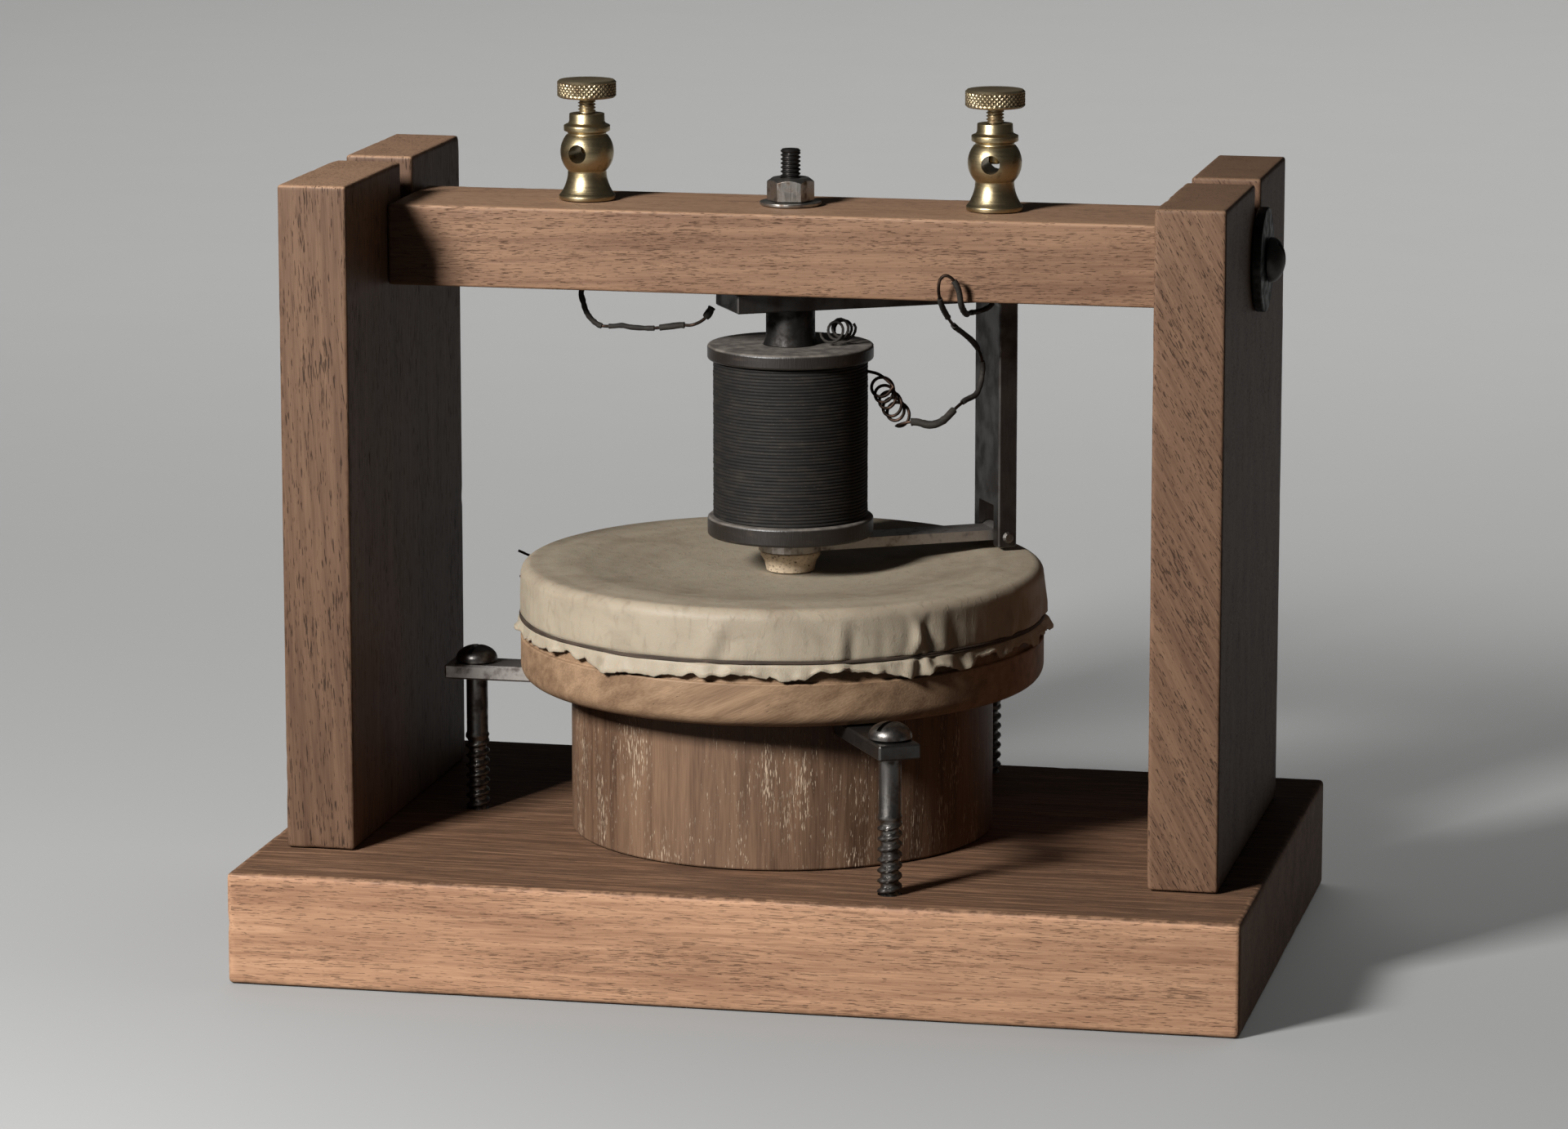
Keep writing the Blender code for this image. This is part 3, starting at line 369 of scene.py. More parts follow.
@dataclass(frozen=True)
class Skin:
    """Stretched drum skin: mottled cream, darker on its top and more so towards its middle, with rings where it
    was scraped.
    """

    name: str
    centre: Point
    cream: Colour = (0.30, 0.25, 0.183)
    brown: Colour = (0.12, 0.088, 0.056)
    ring: float = 7.0 * MM

    def material(self) -> Material:
        """Builds the material.

        Returns:
            The material.
        """
        bench = Bench(self.name)
        where = bench.place(self.centre)
        blot = bench.noise(where, (16, 16, 10), 5.0, 0.6).band(0.42, 0.72)
        veins = bench.noise(where, (2.2, 2.2, 5), 4.0, 0.8).band(0.5, 0.75)
        fine = bench.noise(where, 0.35, 3.0)
        reach = bench.vector("LENGTH", bench.vector("MULTIPLY", where, (1, 1, 0)), out="Value")
        warped = (reach + bench.noise(where, 22, 3.0) * (6 * MM)) * (TURN / self.ring)
        # The top is coloured darker than the skirt, and darker again towards the middle.
        on_top = bench.axis(where, "Z").band(-4 * MM, -0.5 * MM)
        middle = reach.band(66 * MM, 40 * MM)
        darkening = on_top * (0.16 + blot * 0.34 + warped.maths("SINE", warped) * 0.05 + middle * 0.22)
        side = (1 - on_top) * (blot * 0.25 + veins * 0.1)
        colour = bench.blend((darkening + side).held(), self.cream, self.brown)
        height = (fine * 0.45 + veins * 0.35 + blot * 0.2).held()
        return bench.dress(
            Base_Color=bench.blend(veins * (0.16 + on_top * 0.16), colour, self.brown),
            Roughness=0.56 + blot * 0.14 + (fine - 0.5) * 0.2,
            Normal=bench.relief(height, 0.12),
            Subsurface_Weight=0.12,
            Subsurface_Scale=1.5 * MM,
            Specular_IOR_Level=0.3,
        )


@dataclass(frozen=True)
class BlackStain:
    """Black-stained turned wood with dust on what faces up."""

    name: str
    tops: tuple[float, ...]  # the heights of the faces that dust lies on
    black: Colour = (0.014, 0.011, 0.009)
    bare: Colour = (0.075, 0.05, 0.035)
    dust: Colour = (0.20, 0.175, 0.15)

    def material(self) -> Material:
        """Builds the material.

        Returns:
            The material.
        """
        bench = Bench(self.name)
        where = bench.place()
        height = bench.axis(where, "Z")
        up = sum(abs(height - top).band(0.7 * MM, 0.15 * MM) for top in self.tops)
        dusty = up * (0.45 + bench.noise(where, 4, 5.0).band(0.35, 0.7) * 0.5)
        rubbed = bench.noise(where, (7, 7, 1.2), 5.0).band(0.55, 0.78)
        grain = bench.noise(where, (0.3, 0.3, 3), 3.0)
        colour = bench.blend(rubbed * 0.3, self.black, self.bare)
        colour = bench.blend(dusty * 0.75, colour, self.dust)
        rough = 0.38 + dusty * 0.35 + (grain - 0.5) * 0.2
        return bench.dress(Base_Color=colour, Roughness=rough, Normal=bench.relief(grain, 0.08))


@dataclass(frozen=True)
class Covering:
    """Silk or cotton wound close round a wire."""

    name: str
    thread: Colour = (0.005, 0.004, 0.0035)
    faded: Colour = (0.022, 0.018, 0.013)
    fibre_glint: Colour = (0.30, 0.26, 0.20)

    def material(self) -> Material:
        """Builds the material.

        Returns:
            The material.
        """
        bench = Bench(self.name)
        where = bench.place()
        fuzz = bench.noise(where, (0.22, 0.22, 0.1), 4.0)
        turns = bench.noise(where, (9, 9, 0.85), 2.0).band(0.35, 0.75)
        worn = bench.noise(where, (5, 5, 3), 4.0).band(0.5, 0.8)
        colour = bench.blend((turns * 0.45 + worn * 0.5).held(), self.thread, self.faded)
        # Pale specks are painted glints on the fibres.
        fibre_glint = bench.noise(where, (0.5, 0.5, 0.25), 3.0).band(0.66, 0.74)
        colour = bench.blend(fibre_glint * 0.25, colour, self.fibre_glint)
        rough = 0.72 + (fuzz - 0.5) * 0.3
        normal = bench.relief(fuzz, 0.09)
        return bench.dress(Base_Color=colour, Roughness=rough, Normal=normal, Specular_IOR_Level=0.3)


@dataclass(frozen=True)
class Cork:
    """Pale cork with dark pits."""

    name: str
    pale: Colour = (0.66, 0.52, 0.36)
    pit: Colour = (0.10, 0.06, 0.035)

    def material(self) -> Material:
        """Builds the material.

        Returns:
            The material.
        """
        bench = Bench(self.name)
        where = bench.place()
        grains = bench.noise(where, 1.3, 4.0)
        pits = bench.noise(where, (0.8, 0.8, 0.5), 3.0).band(0.6, 0.7)
        colour = bench.blend(grains.band(0.3, 0.7) * 0.6, self.pale, tuple(0.55 * c for c in self.pale))
        normal = bench.relief((grains * 0.5 + 0.5 - pits * 0.5).held(), 0.3)
        return bench.dress(Base_Color=bench.blend(pits, colour, self.pit), Roughness=0.82, Normal=normal)


@dataclass(frozen=True)
class Paper:
    """The seamless paper that the object stands on."""

    name: str
    # near is painted shade by the object, far is painted light far behind it
    near: Colour = (0.27, 0.27, 0.266)
    far: Colour = (0.49, 0.49, 0.483)

    def material(self) -> Material:
        """Builds the material.

        Returns:
            The material.
        """
        bench = Bench(self.name)
        where = bench.place()
        # Painted shade and painted light: the paper is darker near the object and lighter far behind it, to
        # even out how the lights fall on it.
        colour = bench.blend(bench.axis(where, "Y").band(-0.3, 1.3), self.near, self.far)
        colour = bench.blend(bench.noise(where, 60, 3.0) * 0.06, colour, self.near)
        return bench.dress(Base_Color=colour, Roughness=0.92, Specular_IOR_Level=0.1)


class Finishes:
    """Every finish of the instrument, each made once."""

    MAHOGANY = {"pale": (0.300, 0.170, 0.100), "dark": (0.150, 0.075, 0.042), "pore": (0.035, 0.018, 0.010)}
    WORN_TOP = (0.30, 0.18, 0.11)

    def mahogany(self, node: str, share: float, **fields: "float | Colour | Grain") -> Material:
        """The wood of a board.

        Args:
            node: The board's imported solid.
            share: Its lightness against the usual mahogany's.
            fields: The wood's other fields.

        Returns:
            The material.
        """
        tones = {name: tuple(share * part for part in colour) for name, colour in self.MAHOGANY.items()}
        name = f"mahogany_{node.removesuffix('_board')}"
        return Wood(name, top=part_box(node)[1].z, pore_from=0.6, **tones, **fields).material()

    def __init__(self, drum_centre: Point) -> None:
        """Makes every material; the skin's rings run about the drum's centre.

        Args:
            drum_centre: The middle of the skin's top.
        """
        # Painted light and shade on the board tops: the base's top is painted dark as shade, and the posts' and
        # crossbar's tops are painted lighter as light.
        self.base = self.mahogany(
            "base_board", 1.45, shift=0.013, pore_width=0.24, pore_share=0.55, top_tone=(0.07, 0.037, 0.021)
        )
        self.left_post = self.mahogany(
            "left_post", 0.44, grain=Grain.Z, tilt=2.5, shift=0.05, pore_width=0.42, pore_length=5,
            pore_share=0.8, top_tone=self.WORN_TOP,
        )
        self.right_post = self.mahogany(
            "right_post", 0.56, grain=Grain.Z, tilt=28.0, shift=0.09, streak=1.1, pore_length=2.6,
            top_tone=(0.17, 0.10, 0.06),
        )
        self.crossbar = self.mahogany(
            "crossbar", 0.75, tilt=2.0, shift=0.21, pore_width=0.22, pore_length=3.2, pore_share=0.6,
            top_tone=self.WORN_TOP,
        )
        self.cylinder = Wood(
            "turned_cylinder", (0.17, 0.10, 0.06), (0.06, 0.032, 0.019), (0.50, 0.38, 0.27), Grain.Z,
            streak=2.6, pore_width=0.26, pore_length=2.8, pore_from=0.63, patchy=0.6, shift=0.31, roughness=0.5,
        ).material()
        self.hoop = Wood(
            "turned_hoop", (0.29, 0.185, 0.11), (0.125, 0.072, 0.04), (0.10, 0.055, 0.03), tilt=24.0,
            streak=3.0, pore_from=0.7, pore_share=0.5, shift=0.17,
        ).material()
        self.skin = Skin("drum_skin", drum_centre).material()
        grey = (0.085, 0.08, 0.075)
        self.iron = Metal("dark_iron", grey, (0.045, 0.038, 0.034), 0.5, 0.4, 0.55, 9).material()
        self.lug = Metal("lug_iron", (0.42, 0.39, 0.36), (0.13, 0.11, 0.10), 0.62, 0.45, 0.6).material()
        black = (0.045, 0.042, 0.04)
        self.black_iron = Metal("black_iron", black, (0.02, 0.018, 0.016), 0.5, 0.5, 0.7).material()
        self.steel = Metal("aged_steel", (0.42, 0.40, 0.37), (0.12, 0.09, 0.07), 0.58).material()
        self.dark_steel = Metal("dark_steel", (0.16, 0.15, 0.14), (0.05, 0.04, 0.034), 0.55).material()
        self.brass = Metal(
            "turned_brass", (0.40, 0.32, 0.185), (0.17, 0.12, 0.06), 0.66, 0.34, 0.5, 2.5, (9, 9, 0.16), 0.05
        ).material()
        self.knurled = Metal(
            "knurled_brass", (0.42, 0.34, 0.21), (0.20, 0.14, 0.08), 0.6, 0.42, groove=(0.03, 0.02, 0.012)
        ).material()
        flanges = tuple(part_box(f"bobbin_{end}_flange")[1].z for end in ("top", "bottom"))
        self.stain = BlackStain("black_stained_wood", flanges).material()
        self.winding = Covering("silk_winding").material()
        self.lead = Covering("silk_lead", (0.012, 0.010, 0.008), (0.04, 0.032, 0.024)).material()
        self.thread = Covering("waxed_thread", (0.03, 0.02, 0.014), (0.09, 0.06, 0.04)).material()
        self.copper = Metal("bare_copper", (0.07, 0.042, 0.03), (0.02, 0.014, 0.011), 0.42, 0.5).material()
        self.cork = Cork("cork").material()


# ---------------------------------------------------------------- shapes


def arc(centre: tuple[float, float], radius: float, start: float, end: float, steps: int) -> Outline:
    """Points of an arc, ends included.

    Args:
        centre: Its centre.
        radius: Its radius.
        start: The first angle, in degrees.
        end: The last angle, in degrees.
        steps: How many chords it has.

    Returns:
        The points, in order.
    """
    angles = [math.radians(start + (end - start) * i / steps) for i in range(steps + 1)]
    return [(centre[0] + radius * math.cos(a), centre[1] + radius * math.sin(a)) for a in angles]


def rows(start: tuple[float, float], end: tuple[float, float], spacing: float) -> Outline:
    """Points from start to end, both included, at most a spacing apart."""
    steps = max(1, math.ceil(math.dist(start, end) / spacing))
    return [tuple(a + (b - a) * i / steps for a, b in zip(start, end)) for i in range(steps + 1)]


def walls(bore: float, radius: float, low: float, high: float) -> Outline:
    """The outline of a straight tube between two heights, or of a plug if its bore is 0."""
    return [(bore, low), (radius, low), (radius, high), (bore, high)]


def spun(outline: Outline, steps: int, closed: bool = False, rise: float = 0.0) -> Shape:
    """The surface that an outline sweeps in one turn about Z.

    Args:
        outline: (radius, height) points.
        steps: Facets round the axis.
        closed: Whether the outline's last point joins its first.
        rise: How far it climbs in the turn, as a coil does.

    Returns:
        The surface, with its facing not yet settled.
    """
    shape = bmesh.new()
    points = [shape.verts.new((radius, 0, z)) for radius, z in outline]
    pairs = list(zip(points, points[1:])) + ([(points[-1], points[0])] if closed else [])
    edges = [shape.edges.new(pair) for pair in pairs]
    bmesh.ops.spin(
        shape, geom=points + edges, axis=(0, 0, 1), cent=(0, 0, 0), dvec=(0, 0, rise / steps), steps=steps,
        angle=TURN, use_merge=rise == 0,
    )
    bmesh.ops.remove_doubles(shape, verts=shape.verts, dist=0.01 * MM if rise else TINY)
    return shape


def turned(outline: Outline, centre: Sequence[float] = (0, 0, 0), steps: int = 96) -> Shape:
    """A lathe shape about a vertical axis.

    Args:
        outline: (radius, height) points; a ring closes on itself if they keep off the axis.
        centre: A point of the axis, added to every point.
        steps: Facets round the axis.

    Returns:
        The shape.
    """
    shape = spun(outline, steps, closed=outline[0][0] > 0 and outline[-1][0] > 0)
    bmesh.ops.recalc_face_normals(shape, faces=shape.faces)
    bmesh.ops.translate(shape, vec=Vector(centre), verts=shape.verts)
    return shape


def turned_open(outline: Outline, steps: int) -> Shape:
    """A lathe surface from an open outline that starts on the axis, with its faces pointing out.

    Args:
        outline: (radius, height) points.
        steps: Facets round the axis.

    Returns:
        The surface.
    """
    shape = spun(outline, steps)
    bmesh.ops.recalc_face_normals(shape, faces=shape.faces)
    top = max(shape.faces, key=lambda face: face.calc_center_median().z)
    if top.normal.z < 0:
        bmesh.ops.reverse_faces(shape, faces=shape.faces)
    return shape


def block(low: Sequence[float], high: Sequence[float]) -> Shape:
    """A box between two corners.

    Args:
        low: Its low corner.
        high: Its high corner.

    Returns:
        The box.
    """
    shape = bmesh.new()
    bmesh.ops.create_cube(shape, size=1)
    low, high = Vector(low), Vector(high)
    bmesh.ops.scale(shape, vec=high - low, verts=shape.verts)
    bmesh.ops.translate(shape, vec=(low + high) / 2, verts=shape.verts)
    return shape


def smoothed(mesh: bpy.types.Mesh, crease: float) -> None:
    """Smooths a mesh except where faces meet at more than the crease angle, in degrees."""
    mesh.shade_smooth()
    mesh.set_sharp_from_angle(angle=math.radians(crease))


def place_mesh(name: str, shape: Shape, crease: float = USUAL_CREASE) -> Piece:
    """Makes an object of a shape, and uses the shape up.

    Args:
        name: The object's name.
        shape: Its shape.
        crease: The angle between faces, in degrees, above which their edge stays sharp.

    Returns:
        The object.
    """
    mesh = bpy.data.meshes.new(name)
    shape.to_mesh(mesh)
    shape.free()
    smoothed(mesh, crease)
    made = bpy.data.objects.new(name, mesh)
    bpy.context.scene.collection.objects.link(made)
    return made


def bake_place(piece: Piece, matrix: Matrix = Matrix.Identity(4)) -> Piece:
    """Applies a piece's modifiers and moves its mesh, so that its object stays at the origin.

    Args:
        piece: The piece.
        matrix: Where its mesh goes.

    Returns:
        The same piece.
    """
    bpy.context.view_layer.update()
    result = piece.evaluated_get(bpy.context.evaluated_depsgraph_get())
    mesh = bpy.data.meshes.new_from_object(result)
    piece.modifiers.clear()
    piece.data = mesh
    mesh.transform(matrix)
    return piece


def cut_away(piece: Piece, cutters: Iterable[Shape]) -> None:
    """Takes shapes away from a piece, and leaves the result in its mesh.

    Args:
        piece: The piece.
        cutters: The shapes, which are used up.
    """
    tools = [place_mesh(f"{piece.name}_cutter", shape) for shape in cutters]
    for tool in tools:
        boolean = piece.modifiers.new("cut", "BOOLEAN")
        boolean.operation = "DIFFERENCE"
        boolean.object = tool
    smoothed(bake_place(piece).data, USUAL_CREASE)
    for tool in tools:
        bpy.data.objects.remove(tool, do_unlink=True)


def softened(piece: Piece, width: float, segments: int = 3) -> Piece:
    """Rounds a piece's sharp edges.

    Args:
        piece: The piece.
        width: The width of the rounding.
        segments: How many facets it has.

    Returns:
        The same piece.
    """
    bevel = piece.modifiers.new("edges", "BEVEL")
    bevel.width = width
    bevel.segments = segments
    bevel.limit_method = "ANGLE"
    bevel.angle_limit = math.radians(38)
    return piece


def lathed(
    name: str, outline: Outline, centre: Point, steps: int, edge: float, segments: int = 3
) -> Piece:
    """A turned piece with rounded edges: see turned and softened."""
    return bake_place(softened(place_mesh(name, turned(outline, centre, steps)), edge, segments))


def worn_edges(shape: Shape, edge: float, nick: float, spacing: float, seed: float) -> None:
    """Rounds a board's edges and wears them unevenly.

    Args:
        shape: The board, with its edges along X, Y and Z.
        edge: The radius of its edges.
        nick: How deep the deepest wear goes.
        spacing: The distance between the points that can be worn.
        seed: Where in the noise this board lies.
    """
    low = Vector(min(v.co[i] for v in shape.verts) for i in range(3))
    high = Vector(max(v.co[i] for v in shape.verts) for i in range(3))
    edges = shape.edges[:]
    bmesh.ops.bevel(shape, geom=edges, offset=edge, segments=3, profile=0.5, affect="EDGES", material=-1)
    for axis in range(3):
        normal = Vector(1.0 if i == axis else 0.0 for i in range(3))
        inner_low, inner_high = low[axis] + 1.8 * edge, high[axis] - 1.8 * edge
        steps = max(1, round((inner_high - inner_low) / spacing))
        for step in range(steps + 1):
            at = normal * (inner_low + (inner_high - inner_low) * step / steps)
            everything = shape.verts[:] + shape.edges[:] + shape.faces[:]
            bmesh.ops.bisect_plane(shape, geom=everything, plane_co=at, plane_no=normal, dist=TINY)
    worn = shape.verts.layers.float.new("worn")
    middle = (low + high) / 2
    for vert in shape.verts:
        close = [i for i in range(3) if min(vert.co[i] - low[i], high[i] - vert.co[i]) < 1.1 * edge]
        if len(close) < 2:
            continue
        vert[worn] = 1.0
        wave = noise.noise(vert.co * 70 + Vector((seed, 0, 0))) + 0.7 * noise.noise(vert.co * 450)
        depth = nick * (max(0.0, wave - 0.45) + 0.05 * (1 + noise.noise(vert.co * 900)))
        for i in close:
            vert.co[i] += depth if vert.co[i] < middle[i] else -depth


@dataclass(frozen=True)
class Thread:
    """A screw thread cut into a turned shank about Z."""

    low: float
    high: float
    radius: float
    pitch: float
    depth: float
    run_out: float

    def outline(self) -> Outline:
        """The shank's own points, close enough together to carry the thread."""
        return rows((self.radius, self.low), (self.radius, self.high), self.pitch / 8)

    def cut(self, shape: Shape, centre: Sequence[float]) -> None:
        """Moves the shank's points into the thread's form.

        Args:
            shape: The shape that the shank is part of.
            centre: A point of the shank's axis.
        """
        for vert in shape.verts:
            x, y = vert.co.x - centre[0], vert.co.y - centre[1]
            reach = math.hypot(x, y)
            z = vert.co.z - centre[2]
            if reach < 0.6 * self.radius or not self.low - TINY <= z <= self.high + TINY:
                continue
            share = (z / self.pitch - math.atan2(y, x) / TURN) % 1.0
            crest = max(0.0, 1.0 - abs(share - 0.5) / 0.32)
            fade = min(1.0, (z - self.low) / self.run_out, (self.high - z) / self.run_out)
            drop = self.depth * (1.0 - min(1.0, 1.5 * crest)) * max(0.0, fade)
            vert.co.x = centre[0] + x * (reach - drop) / reach
            vert.co.y = centre[1] + y * (reach - drop) / reach


def smooth_route(route: Sequence[Point], spacing: float) -> list[Vector]:
    """Points along a smooth curve through a route.

    Args:
        route: The route's own points, in metres.
        spacing: The distance between the points returned.

    Returns:
        The points, from the route's first to its last.
    """
    points = [Vector(point) for point in route]
    ends = [2 * points[0] - points[1]] + points + [2 * points[-1] - points[-2]]
    fine = []
    for before, here, there, after in zip(ends, ends[1:], ends[2:], ends[3:]):
        bend = 2 * before - 5 * here + 4 * there - after
        swing = 3 * here - before - 3 * there + after
        for t in (step / 12 for step in range(12)):
            fine.append(0.5 * (2 * here + (there - before) * t + bend * t * t + swing * t * t * t))
    fine.append(points[-1])
    kept = [fine[0]]
    for point in fine[1:-1]:
        if (point - kept[-1]).length >= spacing and (point - fine[-1]).length >= spacing / 2:
            kept.append(point)
    return kept + [fine[-1]]


def run_length(points: Sequence[Vector]) -> float:
    """The length of a run of points."""
    return sum((b - a).length for a, b in zip(points, points[1:]))


def wire(name: str, points: Sequence[Vector], radius: float, swell: float = 0.0) -> Piece:
    """A round wire, as a curve.

    Args:
        name: The wire's name.
        points: The points it runs through.
        radius: Its radius.
        swell: How far its thickness varies.

    Returns:
        The wire.
    """
    data = bpy.data.curves.new(name, "CURVE")
    data.dimensions = "3D"
    data.bevel_depth = radius
    data.bevel_resolution = 3
    data.use_fill_caps = True
    spline = data.splines.new("POLY")
    spline.points.add(len(points) - 1)
    for slot, point in zip(spline.points, points):
        slot.co = (*point, 1)
        slot.radius = 1.0 + swell * noise.noise(Vector(point) * 1500)
    spline.use_smooth = True
    made = bpy.data.objects.new(name, data)
    bpy.context.scene.collection.objects.link(made)
    return made


def finished(
    piece: Piece, material: Material, body: Body, slot: str, *stands_for: str
) -> Piece:
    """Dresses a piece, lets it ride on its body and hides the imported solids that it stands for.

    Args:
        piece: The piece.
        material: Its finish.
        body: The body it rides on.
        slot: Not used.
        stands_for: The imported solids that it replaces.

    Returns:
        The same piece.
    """
    piece.data.materials.clear()
    piece.data.materials.append(material)
    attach(piece, body.value)
    if stands_for:
        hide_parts(*stands_for)
    log.info("%s rides on %s", piece.name, body.value)
    return piece


def dress_node(node: str, material: Material) -> None:
    """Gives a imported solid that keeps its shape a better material.

    Args:
        node: The solid.
        material: Its finish.
    """
    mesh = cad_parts[node].data
    mesh.materials.clear()
    mesh.materials.append(material)
    log.info("%s keeps its packed shape", node)


def middle_of(node: str) -> Vector:
    """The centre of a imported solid's box."""
    return sum(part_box(node), Vector()) / 2


def sized(node: str) -> tuple[Vector, Vector, float]:
    """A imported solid's low and high corners, and half its width along X."""
    low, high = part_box(node)
    return low, high, (high.x - low.x) / 2


# ---------------------------------------------------------------- screws


@dataclass
class RoundHead:
    """The slotted round head of a screw, flat side down at height 0."""

    radius: float
    height: float
    slot_width: float = 1.4 * MM
    slot_depth: float = 1.9 * MM
    slot_turn: float = 0.0

    def outline(self) -> Outline:
        """The head's outline, from the rim to the top.

        Returns:
            The outline.
        """
        side = 0.16 * self.height
        rise = self.height - side
        angles = [math.pi / 2 * i / 12 for i in range(12)]
        crown = [(self.radius * math.cos(a), side + rise * math.sin(a)) for a in angles]
        foot = [(0.0, 0.0), (self.radius - 0.3 * MM, 0.0), (self.radius, 0.3 * MM)]
        return foot + crown + [(0.0, self.height)]

    def build(self, name: str) -> Piece:
        """The head at the origin, with its slot cut.

        Args:
            name: The piece's name.

        Returns:
            The head.
        """
        head = place_mesh(name, turned(self.outline(), steps=48))
        slot = block(
            (-2 * self.radius, -self.slot_width / 2, self.height - self.slot_depth),
            (2 * self.radius, self.slot_width / 2, 2 * self.height),
        )
        turn = Matrix.Rotation(self.slot_turn, 4, "Z")
        bmesh.ops.transform(slot, matrix=turn, verts=slot.verts)
        cut_away(head, [slot])
        return softened(head, 0.12 * MM, 2)


def join_into(piece: Piece, other: Piece) -> None:
    """Adds another piece's mesh to a piece, and removes the other.

    Args:
        piece: The piece that stays.
        other: The piece that goes into it.
    """
    whole = bmesh.new()
    whole.from_mesh(piece.data)
    whole.from_mesh(other.data)
    bpy.data.objects.remove(other, do_unlink=True)
    whole.to_mesh(piece.data)
    whole.free()


# ---------------------------------------------------------------- sub-assemblies


@dataclass
class GallowsFrame:
    """Base board, two slotted posts and the crossbar between them."""

    finishes: Finishes
    board_edge: float = 1.3 * MM
    post_edge: float = 0.8 * MM
    bar_edge: float = 0.7 * MM
    nick: float = 0.45 * MM
    spacing: float = 3.0 * MM
    slot_width: float = 11.7 * MM
    slot_middle: float = 5.0 * MM
    slot_floor: float = 189.2 * MM
    mouth_radius: float = 38.0 * MM
    hold_hole: float = 3.3 * MM  # the radius of a hold-down screw's hole
    head_hole: float = 5.4 * MM  # the radius of a post screw's countersink
    clear: float = 5 * MM  # how far a cutter runs past the board

    def build(self) -> None:
        """Builds the four boards and dresses their hidden screws."""
        self.base_board()
        self.post(Side.LEFT, self.finishes.left_post)
        self.post(Side.RIGHT, self.finishes.right_post)
        self.crossbar()
        for side in Side:
            for end in ("front", "back"):
                dress_node(f"{side.word}_post_{end}_screw", self.finishes.dark_steel)

    def base_board(self) -> None:
        """The thick board that everything stands on, open at its round mouth."""
        low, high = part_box("base_board")
        shape = block(low, high)
        worn_edges(shape, self.board_edge, self.nick, self.spacing, 3.0)
        board = place_mesh("worn_base_board", shape)
        drum = middle_of("sound_cylinder")
        mouth = walls(0, self.mouth_radius, low.z - self.clear, high.z + self.clear)
        cutters = [turned(mouth, (drum.x, drum.y, 0))]
        for number in (1, 2, 3):
            cutters.append(self.drilled(f"hold_down_screw_{number}", self.hold_hole, high.z + self.clear))
        for side in Side:
            for end in ("front", "back"):
                cutters.append(self.drilled(f"{side.word}_post_{end}_screw", self.head_hole, 4 * MM))
        cut_away(board, cutters)
        finished(board, self.finishes.base, Body.STAND, "mahogany", "base_board")

    @staticmethod
    def drilled(screw: str, radius: float, top: float) -> Shape:
        """The hole that a packed screw stands in."""
        at = middle_of(screw)
        return turned(walls(0, radius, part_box(screw)[0].z - 3 * MM, top), (at.x, at.y, 0), 32)

    def post(self, side: Side, material: Material) -> None:
        """A board on edge, slotted from its top down to a round floor.

        Args:
            side: Which post.
            material: Its wood.
        """
        low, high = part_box(f"{side.word}_post")
        half = self.slot_width / 2
        floor = arc((self.slot_middle, self.slot_floor + half), half, 0, -180, 12)
        outline = [(low.y, low.z), (high.y, low.z), (high.y, high.z), (self.slot_middle + half, high.z)]
        outline += floor + [(self.slot_middle - half, high.z), (low.y, high.z)]
        shape = bmesh.new()
        face = shape.faces.new([shape.verts.new((low.x, y, z)) for y, z in outline])
        pulled = bmesh.ops.extrude_face_region(shape, geom=[face])
        moved = [item for item in pulled["geom"] if isinstance(item, bmesh.types.BMVert)]
        bmesh.ops.translate(shape, vec=(high.x - low.x, 0, 0), verts=moved)
        bmesh.ops.recalc_face_normals(shape, faces=shape.faces)
        worn_edges(shape, self.post_edge, self.nick, self.spacing, 20.0 + side.value * 7)
        post = place_mesh(f"worn_{side.word}_post", shape)
        finished(post, material, Body.STAND, "mahogany", f"{side.word}_post")

    def crossbar(self) -> None:
        """The square bar that carries the magnet and the terminals."""
        low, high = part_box("crossbar")
        shape = block(low, high)
        worn_edges(shape, self.bar_edge, 0.7 * self.nick, self.spacing, 40.0)
        bar = place_mesh("worn_crossbar", shape)
        finished(bar, self.finishes.crossbar, Body.CARRIAGE, "mahogany", "crossbar")


